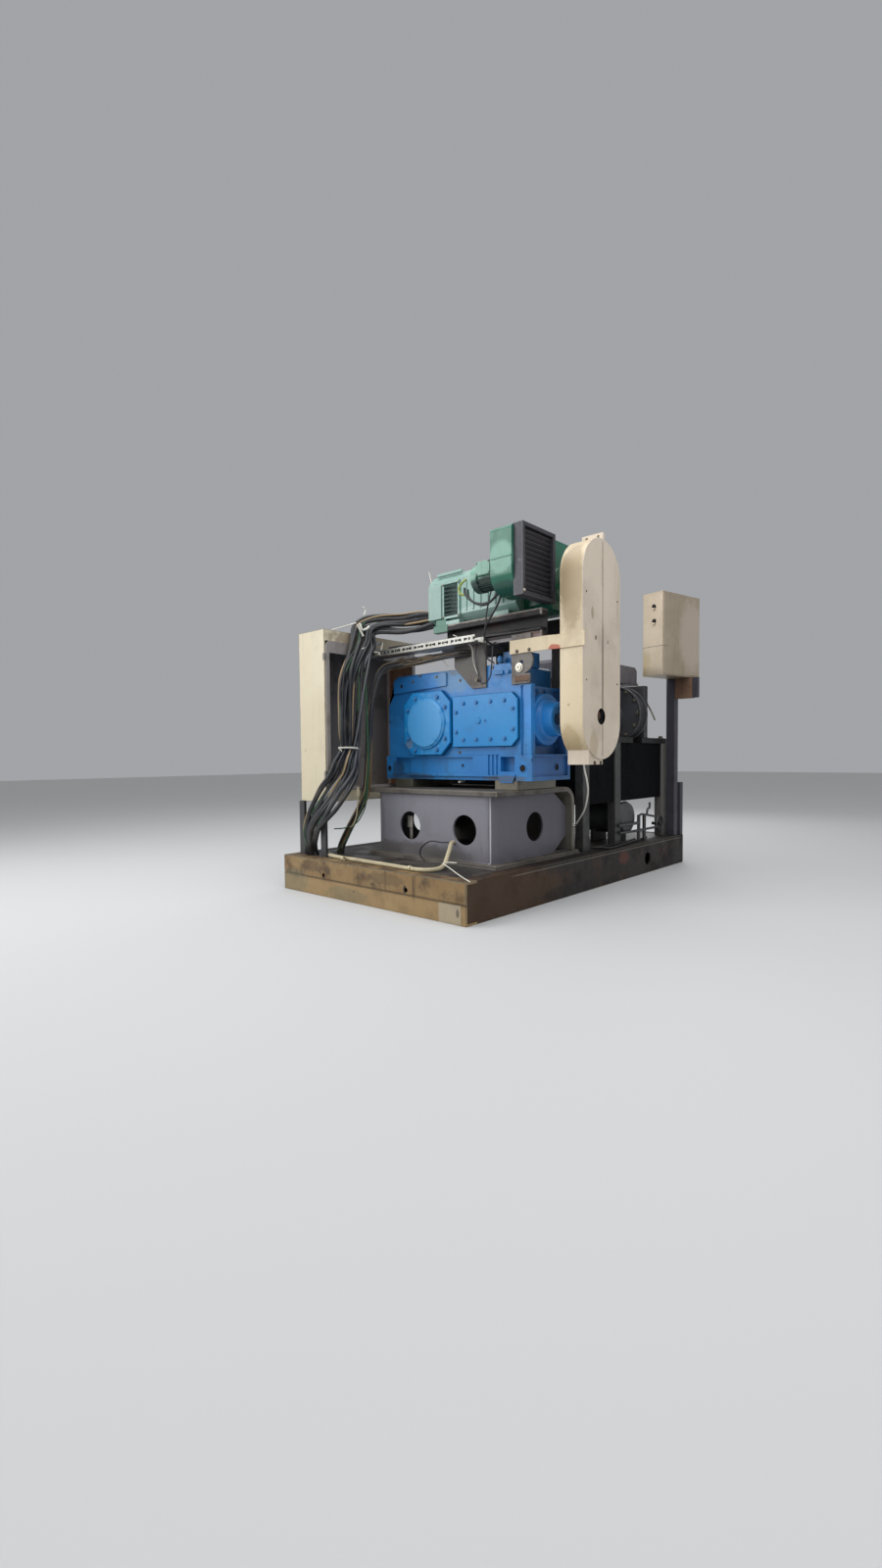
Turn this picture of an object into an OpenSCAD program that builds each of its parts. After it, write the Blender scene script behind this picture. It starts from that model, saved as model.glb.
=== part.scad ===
// Roll stand and its drive on one steel skid.
// Origin: middle of the skid's underside. +X right, +Y towards the roll stand, +Z up.
// Inside assembly() every place is counted from the skid's front left corner.

/* [Skid] */
// Width of the skid
skid_w = 1540; // [1500:10:1700]
// Length of the skid
skid_l = 2640; // [2600:10:2900]
// Height of the skid beams
skid_h = 220; // [180:5:260]
// Width of the beam flanges
flange_w = 90; // [70:5:110]
// Thickness of beam webs and flanges
beam_t = 12; // [8:1:16]
// Thickness of the floor plate between the beams
deck_t = 10; // [6:1:14]
// Diameter of the lifting hole in each side beam
lift_hole_d = 90; // [60:5:110]
// Distance of the lifting holes from the front face
lift_hole_y = 2016; // [1900:4:2100]
// Diameter of the bolt holes in the front beam
front_hole_d = 26; // [18:1:34]
// Distance between the bolt holes in the front beam
front_hole_gap = 712; // [600:8:800]

/* [Pedestal] */
// Width over the side webs
ped_w = 950; // [900:10:1000]
// Depth from the front web to the outside of the rear bend
ped_l = 790; // [760:10:830]
// Height of the pedestal top above the skid
ped_h = 427; // [380:5:470]
// Thickness of the webs
ped_web_t = 15; // [10:1:20]
// Thickness of the bent top plate
ped_top_t = 30; // [20:1:36]
// Thickness of the base flange
ped_base_t = 20; // [14:1:26]
// Diameter of the round holes in the webs
web_hole_d = 175; // [140:5:190]
// Outside radius of the front corners
ped_corner_r = 60; // [40:2:80]
// Inside radius of the rear bend
ped_bend_r = 70; // [40:2:90]

/* [Gear unit] */
// Width of the foot of the case
gear_w = 1180; // [1160:5:1200]
// Depth of the case
gear_l = 400; // [380:5:420]
// Height of the foot of the case
foot_h = 150; // [130:5:165]
// Height of the whole case
gear_h = 672; // [660:2:700]
// Height of the foot bars under the case
pad_h = 53; // [30:1:70]
// Height of the shafts above the foot
shaft_h = 352; // [346:1:358]
// Across flats of the octagonal bearing cover
oct_af = 396; // [370:4:410]
// Diameter of the round cap in the bearing cover
cap_d = 306; // [266:5:321]
// Diameter of the input shaft
input_d = 60; // [50:2:70]

/* [Belt drive] */
// Radius of the round ends of the guard
guard_r = 204; // [196:2:212]
// Depth of the guard along the shafts
guard_t = 140; // [120:5:150]
// Distance between the two pulley shafts
belt_gap = 760; // [750:5:780]
// Sheet thickness of the guard
guard_sheet = 4; // [2:1:6]
// Diameter of the hole in the guard over the lower shaft
peep_d = 88; // [60:4:100]
// Pitch diameter of the lower pulley
low_pulley_d = 315; // [280:5:330]
// Pitch diameter of the motor pulley
top_pulley_d = 200; // [160:5:240]
// Number of belts
belt_count = 4; // [2:1:4]

/* [Motor and platform] */
// Length of the motor body
motor_l = 670; // [640:5:690]
// Width of the motor body
motor_w = 360; // [340:5:370]
// Height of the shaft above the motor feet
motor_axis_h = 160; // [155:1:165]
// Depth of the platform channels
channel_h = 160; // [140:5:170]
// Length of the platform channels
channel_l = 740; // [720:5:760]
// Flange width of the platform channels
channel_b = 65; // [50:1:75]
// Thickness of the platform brackets
bracket_t = 12; // [8:1:14]

/* [Blower] */
// Width of the blower scroll
scroll_w = 140; // [110:5:150]
// Smallest radius of the blower scroll
scroll_r = 140; // [125:5:150]
// Width of the intake filter box
filter_w = 310; // [290:5:320]
// Height of the intake filter box
filter_h = 375; // [360:5:390]
// Depth of the intake filter box
filter_d = 60; // [50:2:66]
// Number of louvre slats in the intake
louvre_count = 12; // [8:1:13]

/* [Cable cabinet] */
// Depth of the cabinet
cab_d = 260; // [220:5:270]
// Width of the cabinet
cab_w = 800; // [700:10:850]
// Height of the cabinet
cab_h = 1075; // [1000:5:1100]
// Height of the cabinet legs
cab_leg_h = 345; // [300:5:380]
// Sheet thickness of the cabinet
cab_t = 4; // [2:1:6]

/* [Roll stand] */
// Distance from the stand to the right edge of the skid
stand_side = 100; // [90:5:140]
// Height of the stand table above the skid
stand_h = 750; // [740:2:760]
// Thickness of the stand table
table_t = 40; // [30:2:50]
// Width of the stand columns
column_w = 60; // [50:2:70]
// Depth of the stand columns
column_d = 80; // [60:2:90]
// Diameter of the work rolls
roll_d = 166; // [150:2:170]
// Free length between the pedestal and the roll stand
stand_gap = 80; // [60:5:120]
// Open gap between the rolls
roll_gap = 3; // [1:0.5:8]
// Radius of the flanged drum
drum_r = 204; // [180:4:208]
// Height of the hood over the rolls
hood_h = 137; // [110:5:150]

/* [Control box] */
// Width of the control box
box_w = 457; // [420:5:480]
// Depth of the control box
box_d = 174; // [160:2:190]
// Height of the control box
box_h = 600; // [560:5:640]
// Turn of the control box on its post
box_turn = 11.6; // [8:0.2:14]
// Width of the square control post
post_w = 66; // [56:2:76]

/* [Hidden] */
$fn = 48;
eps = 0.5;
fit = 0.1;

// Heights, from the floor up
ped_top_z = skid_h + ped_h;
gear_z = ped_top_z + pad_h;
shaft_z = gear_z + shaft_h;
gear_top_z = gear_z + gear_h;
motor_z = shaft_z + belt_gap - motor_axis_h;
motor_axis_z = motor_z + motor_axis_h;
channel_z = motor_z - channel_h;
motor_h = 2 * motor_axis_h;

// Places of the pedestal and the gear unit
ped_x = 430;
ped_y = 420;
gear_x = 340;
gear_y = 600;
shaft_y = gear_y + gear_l / 2;
slow_x = gear_x + 403;
case_left = gear_x + 27;
case_right = gear_x + gear_w - 4;
side_x = case_right - 66;
shoulder_z = gear_z + 545;
left_plate_x = case_right - 309;
right_plate_x = case_right;

// Places of the belt guard, which hangs a little lower than the shafts
guard_x = 1700;
guard_y = shaft_y + 8;
guard_z = shaft_z - 28;
guard_gap = belt_gap + 22;
guard_back_gap = 20;
pulley_w = guard_t - 2 * guard_sheet - 2 * guard_back_gap;
pulley_x = guard_x + guard_sheet + guard_back_gap;
shaft_end_x = pulley_x + pulley_w;

// Places of the motor and its blower
motor_x = 730;
channel_x = motor_x + 116;
end_block_x = motor_x + motor_l;
end_block_l = 200;
blower_y = 535;
blower_z = motor_z + 215;
scroll_x = end_block_x + 20;
filter_x = scroll_x + scroll_w;

// Places of the cable cabinet
cab_x = 60;
cab_y = 100;
cab_z = skid_h + cab_leg_h;
cab_frame_t = 10;
cab_header = 75;

// Places of the roll stand
stand_x = 200;
stand_w = skid_w - stand_x - stand_side;
stand_y = ped_y + ped_l + stand_gap;
stand_l = skid_l - flange_w - stand_y;
table_z = skid_h + stand_h - table_t;
stand_top = skid_h + stand_h;
lower_roll_z = shaft_z;
upper_roll_z = shaft_z + roll_d + roll_gap;
housing_t = 90;
housing_w = 500;
housing_h = 403;
barrel_y = stand_y + 315;
roll_l = stand_l - 620;
front_housing_y = barrel_y - 35 - housing_t;
rear_housing_y = barrel_y + roll_l + 35;
housing_x = slow_x - housing_w / 2;
neck_d = 90;
chock_w = 160;
drum_x = slow_x + 542;
drum_z = stand_top + 170;
drum_y = stand_y + stand_l - 550;
drum_l = 120;
bracket_y = drum_y + 160;

// Places of the control box
post_x = skid_w - 80;
post_y = skid_l - 140;
box_x = post_x + 117;
box_y = post_y - 329;
post_top = 1424;

// Shared shapes

function unit(v) = v / norm(v);
function lerp(a, b, t) = a + (b - a) * t;

// A flat outline with round corners
module rounded(w, h, r) {
    union() {
        translate([r, 0]) square([w - 2 * r, h]);
        translate([0, r]) square([w, h - 2 * r]);
        for (x = [r, w - r], y = [r, h - r]) translate([x, y]) circle(r);
    }
}

// A flat outline with cut corners
module cut_corners(w, h, c) {
    polygon([[c, 0], [w - c, 0], [w, c], [w, h - c], [w - c, h], [c, h], [0, h - c], [0, c]]);
}

// Turns a flat outline drawn as (x, z) to face forward, its thickness running to +Y
module stand_up(t) {
    translate([0, t, 0]) rotate([90, 0, 0]) linear_extrude(t) children();
}

// Turns a flat outline drawn as (y, z) to face right, its thickness running to +X
module face_right(t) {
    rotate([90, 0, 90]) linear_extrude(t) children();
}

// An upright oval outline, its lower centre at the origin
module oval(r, gap) {
    union() {
        circle(r);
        translate([0, gap]) circle(r);
        translate([-r, 0]) square([2 * r, gap]);
    }
}

// A channel section drawn as (y, z), its web on the left
module channel_outline(b, h, t) {
    union() {
        square([t, h]);
        square([b, t]);
        translate([0, h - t]) square([b, t]);
    }
}

// A built-up rail, a thin web between a thick top and bottom bar, drawn as (y, z)
module rail_outline(b, h, bar) {
    union() {
        square([10, h]);
        square([b, bar]);
        translate([0, h - bar]) square([b, bar]);
    }
}

// A smooth curve through hand-picked points
function spline_at(p, i, t) =
    let (a = p[max(i - 1, 0)], b = p[i], c = p[i + 1], d = p[min(i + 2, len(p) - 1)])
    0.5 * (2 * b + (c - a) * t + (2 * a - 5 * b + 4 * c - d) * t * t
        + (3 * b - a - 3 * c + d) * t * t * t);
function smooth_path(p, steps) = concat(
    [for (i = [0 : len(p) - 2], s = [0 : steps - 1]) spline_at(p, i, s / steps)],
    [p[len(p) - 1]]);
function tangents(p) = [for (i = [0 : len(p) - 1])
    unit(p[min(i + 1, len(p) - 1)] - p[max(i - 1, 0)])];
function square_to(v, t) = unit(v - (v * t) * t);
function normals(t) = [for (i = 0, n = square_to([0.31, 0.92, 0.24], t[0]);
    i < len(t); i = i + 1, n = square_to(n, t[min(i, len(t) - 1)])) n];

// A closed round tube along a path
module sweep(path, r, sides) {
    t = tangents(path);
    n = normals(t);
    last = len(path) - 1;
    points = [for (i = [0 : last], k = [0 : sides - 1])
        let (a = 360 * k / sides, b = cross(t[i], n[i]))
        path[i] + r * (cos(a) * n[i] + sin(a) * b)];
    sides_faces = [for (i = [0 : last - 1], k = [0 : sides - 1])
        let (m = (k + 1) % sides, lo = i * sides, hi = lo + sides)
        [lo + k, hi + k, hi + m, lo + m]];
    start_face = [[for (k = [0 : sides - 1]) k]];
    end_face = [[for (k = [sides - 1 : -1 : 0]) last * sides + k]];
    polyhedron(points, concat(sides_faces, start_face, end_face), convexity = 6);
}

// Skid

module front_channel() {
    difference() {
        rotate([90, 0, 90]) linear_extrude(skid_w) channel_outline(flange_w, skid_h, beam_t);
        for (x = [408, 408 + front_hole_gap])
            translate([x, -eps, 131]) rotate([-90, 0, 0]) cylinder(d = front_hole_d, h = beam_t + 2 * eps);
        translate([-eps, -eps, skid_h / 2 - 3]) cube([skid_w + 2 * eps, 3 + eps, 6]);
    }
}

module skid_front_beam() {
    color("#7d6f52") front_channel();
}

module skid_rear_beam() {
    color("#7d6f52") translate([0, skid_l, 0]) mirror([0, 1, 0])
        rotate([90, 0, 90]) linear_extrude(skid_w) channel_outline(flange_w, skid_h, beam_t);
}

module side_channel() {
    tongue = flange_w - beam_t;
    difference() {
        union() {
            translate([0, skid_l - flange_w, 0]) rotate([90, 0, 0])
                linear_extrude(skid_l - 2 * flange_w) channel_outline(flange_w, skid_h, beam_t);
            // the web runs on between the flanges of the end beams and closes the corners
            for (y = [beam_t, skid_l - flange_w - eps])
                translate([0, y, beam_t + fit]) cube([beam_t, tongue + eps, skid_h - 2 * beam_t - 2 * fit]);
        }
        translate([-eps, lift_hole_y, 101]) rotate([0, 90, 0]) cylinder(d = lift_hole_d, h = beam_t + 2 * eps);
    }
}

module skid_side_beams() {
    color("#4a4038") {
        side_channel();
        translate([skid_w, 0, 0]) mirror([1, 0, 0]) side_channel();
    }
}

// Rolled bearers that cross under the floor plate
module bearer_outline(b, h) {
    union() {
        square([b, 14]);
        translate([0, h - 14]) square([b, 14]);
        translate([b / 2 - 5, 0]) square([10, h]);
    }
}

module skid_cross_beams() {
    bearer_w = 100;
    color("#4a4038")
        for (y = [ped_y + 60, skid_l / 2 - bearer_w / 2, skid_l - flange_w - bearer_w])
            translate([flange_w, y, 0]) face_right(skid_w - 2 * flange_w) bearer_outline(bearer_w, skid_h - deck_t);
}

module skid_deck() {
    color("#3b3a38") translate([flange_w, flange_w, skid_h - deck_t])
        cube([skid_w - 2 * flange_w, skid_l - 2 * flange_w, deck_t]);
}

// Pedestal under the gear unit

module pedestal_base() {
    lip = 40;
    color("#6d6a70") translate([ped_x - lip, ped_y - lip, skid_h]) linear_extrude(ped_base_t)
        rounded(ped_w + 2 * lip + 20, ped_l + 2 * lip, 20);
}

// Outline of the three webs, open to the rear
module web_plan() {
    difference() {
        union() {
            translate([ped_corner_r, 0]) square([ped_w - 2 * ped_corner_r, ped_l / 2]);
            translate([0, ped_corner_r]) square([ped_w, ped_l - ped_top_t - ped_corner_r]);
            for (x = [ped_corner_r, ped_w - ped_corner_r])
                translate([x, ped_corner_r]) circle(ped_corner_r);
        }
        inner_r = ped_corner_r - ped_web_t;
        union() {
            translate([ped_corner_r, ped_web_t]) square([ped_w - 2 * ped_corner_r, ped_l]);
            translate([ped_web_t, ped_corner_r]) square([ped_w - 2 * ped_web_t, ped_l]);
            for (x = [ped_corner_r, ped_w - ped_corner_r])
                translate([x, ped_corner_r]) circle(inner_r);
        }
    }
}

// The side webs stop short of the rear bend with cut corners
module web_corner_cuts() {
    web_h = ped_h - ped_base_t - ped_top_t;
    cut_l = 145;
    cut_h = 100;
    for (top = [0, 1])
        translate([-eps, ped_l - ped_top_t, top * web_h]) mirror([0, 0, top])
            face_right(ped_w + 2 * eps) polygon([[eps, -eps], [eps, cut_h], [-cut_l, -eps]]);
}

module pedestal_webs() {
    web_h = ped_h - ped_base_t - ped_top_t;
    hole_z = web_h / 2 - 10;
    color("#77747c") translate([ped_x, ped_y, skid_h + ped_base_t]) difference() {
        linear_extrude(web_h) web_plan();
        for (x = [ped_w * 0.32, ped_w * 0.785])
            translate([x, -eps, hole_z]) rotate([-90, 0, 0]) cylinder(d = web_hole_d, h = ped_web_t + 2 * eps);
        for (x = [-eps, ped_w - ped_web_t - eps])
            translate([x, ped_l * 0.525, hole_z]) rotate([0, 90, 0]) cylinder(d = web_hole_d, h = ped_web_t + 2 * eps);
        web_corner_cuts();
    }
}

// Side profile of the top plate, bent down at the rear, drawn as (y, z)
module bent_profile() {
    lip = 20;
    r_out = ped_bend_r + ped_top_t;
    leg = ped_h - ped_base_t;
    union() {
        translate([-lip, leg - ped_top_t]) square([ped_l + lip - r_out, ped_top_t]);
        translate([ped_l - ped_top_t, 0]) square([ped_top_t, leg - r_out]);
        translate([ped_l - r_out, leg - r_out]) difference() {
            circle(r_out);
            circle(ped_bend_r);
            translate([-r_out - eps, -r_out - eps]) square([r_out + eps, 2 * r_out + 2 * eps]);
            translate([-eps, -r_out - eps]) square([r_out + 2 * eps, r_out + eps]);
        }
    }
}

module pedestal_top() {
    side_lip = 45;
    color("#8a888c") translate([ped_x - side_lip, ped_y, skid_h + ped_base_t])
        face_right(ped_w + 2 * side_lip) bent_profile();
}

module foot_bars() {
    bar_w = 160;
    color("#8d8a80")
        for (x = [gear_x + 80, gear_x + gear_w - 100 - bar_w])
            translate([x, gear_y, ped_top_z]) cube([bar_w, gear_l, pad_h]);
}

// Gear unit

module gear_case_foot() {
    pocket = 16;
    wall = 26;
    lug_w = 110;
    face_z = [42, foot_h - 12];
    color("#2f86c9") translate([gear_x, gear_y, gear_z]) difference() {
        union() {
            translate([0, 0, 22]) cube([gear_w, gear_l, foot_h - 22]);
            translate([60, 12, 0]) cube([gear_w - 120, gear_l - 24, 22]);
            for (x = [0, gear_w - lug_w]) translate([x, 0, 0]) cube([lug_w, gear_l, 22 + eps]);
            // lug for the levelling screw, in front of the foot bar
            for (side = [0, 1]) translate([0, side * gear_l, 0]) mirror([0, side, 0])
                translate([gear_w - 238, -8, 0]) {
                    stand_up(8 + eps) polygon([[0, 36], [129, 36], [113, fit], [16, fit]]);
                    stand_up(8 - fit) polygon([[16, 1], [113, 1], [107, -12], [22, -12]]);
                }
        }
        // long panel, stepped ribs and deep recess of the long faces
        for (side = [0, 1]) translate([0, side * gear_l, 0]) mirror([0, side, 0]) {
            translate([88, -eps, 22]) cube([124, 30 + eps, foot_h - 22 - 10]);
            translate([212, -eps, face_z[0]]) cube([542, pocket + eps, face_z[1] - face_z[0]]);
            for (i = [0 : 2])
                translate([870 + i * 30, -eps, face_z[0] - 12]) cube([20, 8 + eps, face_z[1] - face_z[0] + 24 + eps]);
            translate([gear_w - 219, -eps, 52]) cube([102, 46 + eps, foot_h - 52 - 12]);
        }
        for (x = [-eps, gear_w - pocket])
            translate([x, wall - 4, 24]) cube([pocket + eps, gear_l - 2 * wall + 8, foot_h - 24 - 8]);
        for (x = [50, gear_w - 50], y = [56, gear_l - 56])
            translate([x, y, -eps]) cylinder(d = 28, h = foot_h + 2 * eps);
    }
}

// Front outline of the case above its foot, drawn as (x, z)
module case_front() {
    h = gear_h - foot_h;
    s = shoulder_z - gear_z - foot_h;
    w = case_right - case_left;
    polygon([[0, 0], [w, 0], [w, s], [w - 131, s], [w - 131, h - 14], [w - 145, h],
        [90, h], [52, h - 22], [52, s + 10], [0, s - 60]]);
}

module gear_case() {
    h = gear_h - foot_h;
    s = shoulder_z - gear_z - foot_h;
    side_in = case_right - side_x;
    rib = 40;
    panel_t = 10;
    color("#2f86c9") translate([case_left, gear_y, gear_z + foot_h]) difference() {
        union() {
            stand_up(gear_l) case_front();
            // raised panel of the casting over the slow shaft, on both long faces
            for (y = [-panel_t, gear_l - eps]) translate([0, y, 0]) stand_up(panel_t + eps)
                polygon([[57, s + 14], [526, s + 34], [526, h - 10], [92, h - 10], [57, h - 32]]);
            translate([case_right - case_left - 252, gear_l * 0.2, h - 6]) cube([122, gear_l * 0.5, 86]);
        }
        // right side is sunk between the front and rear flanges
        translate([case_right - case_left - side_in, rib, -eps]) cube([side_in + eps, gear_l - 2 * rib, s + 2 * eps]);
        // slow shaft bore runs through the case at the rear
        translate([slow_x - case_left, gear_l + eps, shaft_z - gear_z - foot_h]) rotate([90, 0, 0])
            cylinder(d = neck_d + 20, h = 60);
        // groove beside the corner column, on both long faces
        for (y = [-eps, gear_l - 10])
            translate([case_right - case_left - 68, y, -eps]) cube([18, 10 + eps, s - 8]);
    }
}

// Octagonal cover with its raised round cap; the rear one is bored for the slow shaft
module octagon_cover(bore) {
    r = oct_af / 2;
    c = r * 0.38;
    difference() {
        union() {
            stand_up(34) translate([-r, -r]) cut_corners(2 * r, 2 * r, c);
            rotate([90, 0, 0]) cylinder(d = cap_d + 16, h = 12);
            translate([0, -12, 0]) rotate([90, 0, 0]) cylinder(d1 = cap_d, d2 = cap_d - 16, h = 8);
        }
        if (bore > 0) translate([0, 50, 0]) rotate([90, 0, 0]) cylinder(d = bore, h = 100);
    }
}

module bearing_cover() {
    color("#3b8fd0") {
        translate([slow_x, gear_y - 34, shaft_z]) octagon_cover(0);
        translate([slow_x, gear_y + gear_l + 34, shaft_z]) mirror([0, 1, 0]) octagon_cover(neck_d + 2 * fit);
    }
}

module inspection_cover() {
    w = 498;
    h = 304;
    color("#3b8fd0")
        for (side = [0, 1])
            translate([0, side * (2 * gear_y + gear_l), 0]) mirror([0, side, 0])
                translate([gear_x + 602, gear_y - 26, shaft_z - 152]) {
                    difference() {
                        stand_up(26) polygon([[0, 0], [w - 42, 0], [w, 42], [w, h - 42], [w - 42, h], [0, h]]);
                        translate([-eps, -eps, -eps]) cube([18, 12 + eps, h + 2 * eps]);
                    }
                    translate([w * 0.44, 0, h / 2]) rotate([90, 0, 0]) cylinder(d = 34, h = 8);
                }
}

module input_housing() {
    color("#2a78b8") translate([side_x, shaft_y, shaft_z]) rotate([0, 90, 0]) difference() {
        union() {
            cylinder(d = 300, h = 46);
            translate([0, 0, 46]) cylinder(d = 236, h = 20);
            translate([0, 0, 66]) cylinder(d1 = 206, d2 = 190, h = 64);
        }
        translate([0, 0, -eps]) cylinder(d = input_d + 2 * fit, h = 140);
        translate([0, 0, 112]) cylinder(d = 130, h = 40);
    }
}

// Turned shafts of the gear unit and of the motor, each with a collar behind its pulley
module drive_shafts() {
    color("#8f9296") {
        translate([side_x, shaft_y, shaft_z]) rotate([0, 90, 0])
            cylinder(d = input_d, h = shaft_end_x - side_x);
        translate([pulley_x - 14, shaft_y, shaft_z]) rotate([0, 90, 0]) cylinder(d = input_d + 20, h = 14);
        translate([end_block_x + end_block_l, shaft_y, motor_axis_z]) rotate([0, 90, 0])
            cylinder(d = input_d - 5, h = shaft_end_x - end_block_x - end_block_l);
        translate([pulley_x - 14, shaft_y, motor_axis_z]) rotate([0, 90, 0]) cylinder(d = input_d + 15, h = 14);
    }
}

// Belt drive and guard

module guard_case() {
    color("#d9d0b4") difference() {
        translate([guard_x, guard_y, guard_z]) face_right(guard_t - guard_sheet) oval(guard_r, guard_gap);
        translate([guard_x + guard_sheet, guard_y, guard_z]) face_right(guard_t)
            oval(guard_r - guard_sheet, guard_gap);
        for (z = [shaft_z, motor_axis_z])
            translate([guard_x - eps, shaft_y, z]) rotate([0, 90, 0]) cylinder(d = 120, h = guard_sheet + 2 * eps);
    }
}

// Two flat covers that meet on the middle line
module guard_covers() {
    seam = 2;
    color("#c9c1b2") translate([guard_x + guard_t - guard_sheet, guard_y, guard_z])
        for (side = [0, 1])
            face_right(guard_sheet) difference() {
                oval(guard_r, guard_gap);
                translate([side ? -guard_r - eps : -seam / 2, -guard_r - eps])
                    square([guard_r + seam / 2 + eps, guard_gap + 2 * guard_r + 2 * eps]);
                translate([shaft_y - guard_y, shaft_z - guard_z]) circle(d = peep_d);
            }
}

// Flat bar with a set in it, from the platform bracket to the guard
module guard_strap() {
    bar_t = 8;
    bar_h = 76;
    y0 = gear_y - bracket_t - bar_t;
    y1 = guard_y - guard_r - bar_t;
    x0 = right_plate_x - 131;
    x1 = guard_x + guard_t + 14;
    color("#cfc6a6") translate([0, 0, channel_z - 78]) linear_extrude(bar_h) polygon([
        [x0, y0], [x1 - 214, y0], [x1 - 174, y1], [x1, y1],
        [x1, y1 + bar_t], [x1 - 176, y1 + bar_t], [x1 - 216, y0 + bar_t], [x0, y0 + bar_t]]);
}

// Folded box under the guard and drilled lug on top of it
module guard_brackets() {
    box_l = 150;
    box_drop = 28;
    lug_h = 40;
    color("#cfc6a6") {
        translate([guard_x + 6, guard_y - box_l + 15, guard_z - guard_r - box_drop]) difference() {
            cube([guard_t - 12, box_l, box_drop + 50]);
            translate([-eps, box_l - 15, guard_r + box_drop]) rotate([0, 90, 0])
                cylinder(r = guard_r + fit, h = guard_t + 2 * eps, $fn = 96);
            translate([8, 8, -eps]) cube([guard_t - 28, box_l - 16, 14 + eps]);
        }
        translate([guard_x + 6, guard_y + 16, guard_z + guard_gap + guard_r - 6]) difference() {
            cube([guard_t - 12, 18, lug_h + 6]);
            translate([-eps, -16, 6 - guard_r]) rotate([0, 90, 0])
                cylinder(r = guard_r + fit, h = guard_t + 2 * eps, $fn = 96);
            for (x = [28, guard_t - 40]) translate([x, -eps, lug_h - 12]) rotate([-90, 0, 0])
                cylinder(d = 18, h = 18 + 2 * eps);
        }
    }
}

// A grooved pulley with a web and a hub, turned about X
module grooved_pulley(d, bore) {
    pitch = pulley_w / belt_count;
    rotate([0, 90, 0]) difference() {
        cylinder(d = d, h = pulley_w);
        for (i = [0 : belt_count - 1])
            translate([0, 0, (i + 0.5) * pitch]) rotate_extrude()
                polygon([[d / 2 - 14, -4], [d / 2 + eps, -8], [d / 2 + eps, 8], [d / 2 - 14, 4]]);
        translate([0, 0, -eps]) cylinder(d = bore, h = pulley_w + 2 * eps);
        for (z = [-eps, pulley_w - 22])
            translate([0, 0, z]) difference() {
                cylinder(d = d - 60, h = 22 + eps);
                translate([0, 0, -eps]) cylinder(d = bore + 50, h = 22 + 3 * eps);
            }
    }
}

module belt_pulleys() {
    color("#5c5d5f") {
        translate([pulley_x, shaft_y, shaft_z]) grooved_pulley(low_pulley_d, input_d + 2 * fit);
        translate([pulley_x, shaft_y, motor_axis_z]) grooved_pulley(top_pulley_d, input_d - 5 + 2 * fit);
    }
}

// Outline of a belt's outer or inner side round both pulleys, drawn as (y, z)
module belt_loop(r_low, r_top) {
    lean = asin((r_low - r_top) / belt_gap);
    union() {
        circle(r_low);
        translate([0, belt_gap]) circle(r_top);
        polygon([
            [-r_low * cos(lean), r_low * sin(lean)], [r_low * cos(lean), r_low * sin(lean)],
            [r_top * cos(lean), belt_gap + r_top * sin(lean)], [-r_top * cos(lean), belt_gap + r_top * sin(lean)]]);
    }
}

module drive_belts() {
    pitch = pulley_w / belt_count;
    depth = 13;
    color("#1c1c1c")
        for (i = [0 : belt_count - 1])
            translate([pulley_x + (i + 0.5) * pitch - 3, shaft_y, shaft_z]) face_right(6) difference() {
                belt_loop(low_pulley_d / 2 - 1, top_pulley_d / 2 - 1);
                belt_loop(low_pulley_d / 2 - depth, top_pulley_d / 2 - depth);
            }
}

// Motor platform

// Left bracket of the pair, a tapered plate drawn as (x, z) from its lower right corner
module taper_plate(h) {
    polygon([[-105, 0], [0, 0], [0, h], [-243, h], [-243, h - 140]]);
}

// Right bracket of the pair, with a rounded ear
module eared_plate(h) {
    union() {
        translate([-124, 0]) square([124, 56]);
        translate([-124, 56]) square([90, h - 56]);
        translate([-52, 128]) circle(72);
        translate([-124, h - 100]) square([132, 100]);
    }
}

module platform_brackets() {
    h = channel_z + 30 - shoulder_z;
    color("#7b766c")
        for (side = [0, 1])
            translate([0, side * (2 * gear_y + gear_l), 0]) mirror([0, side, 0]) {
                translate([left_plate_x, gear_y - bracket_t, shoulder_z]) difference() {
                    stand_up(bracket_t) taper_plate(h);
                    translate([-44, -eps, 44]) rotate([-90, 0, 0]) cylinder(d = 22, h = bracket_t + 2 * eps);
                }
                translate([right_plate_x, gear_y - bracket_t, shoulder_z]) difference() {
                    stand_up(bracket_t) eared_plate(h);
                    translate([-56, -eps, 118]) rotate([-90, 0, 0]) cylinder(d = 26, h = bracket_t + 2 * eps);
                }
            }
}

// Two channels along the motor, toes outward
module platform_channels() {
    color("#6e655a")
        for (side = [0, 1])
            translate([channel_x, gear_y + side * gear_l, channel_z]) mirror([0, side, 0])
                translate([0, channel_b, 0]) mirror([0, 1, 0])
                    face_right(channel_l) rail_outline(channel_b, channel_h, 38);
}

module motor_feet() {
    foot_t = 24;
    for (x = [150, motor_l - 150], y = [shaft_y - gear_l / 2 + 4, shaft_y + gear_l / 2 - 104])
        translate([motor_x + x, y, motor_z]) cube([110, 100, foot_t]);
}

module motor_body() {
    c = 46;
    y0 = shaft_y - motor_w / 2;
    color("#86b3a3") difference() {
        union() {
            translate([motor_x, y0, motor_z + 12]) face_right(motor_l) cut_corners(motor_w, motor_h - 12, c);
            motor_feet();
            // end bells with cooling ribs
            for (i = [0 : 5])
                translate([motor_x + 300 + i * 55, y0 - 6, motor_z + 70]) cube([10, motor_w + 12, motor_h - 140]);
        }
        // commutator window, front and rear
        for (y = [y0 - eps, y0 + motor_w - 30])
            translate([motor_x + 130, y, motor_z + 52]) cube([120, 30 + eps, 200]);
        translate([motor_x - eps, shaft_y, motor_axis_z]) rotate([0, 90, 0]) cylinder(d = 210, h = 14);
    }
}

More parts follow.
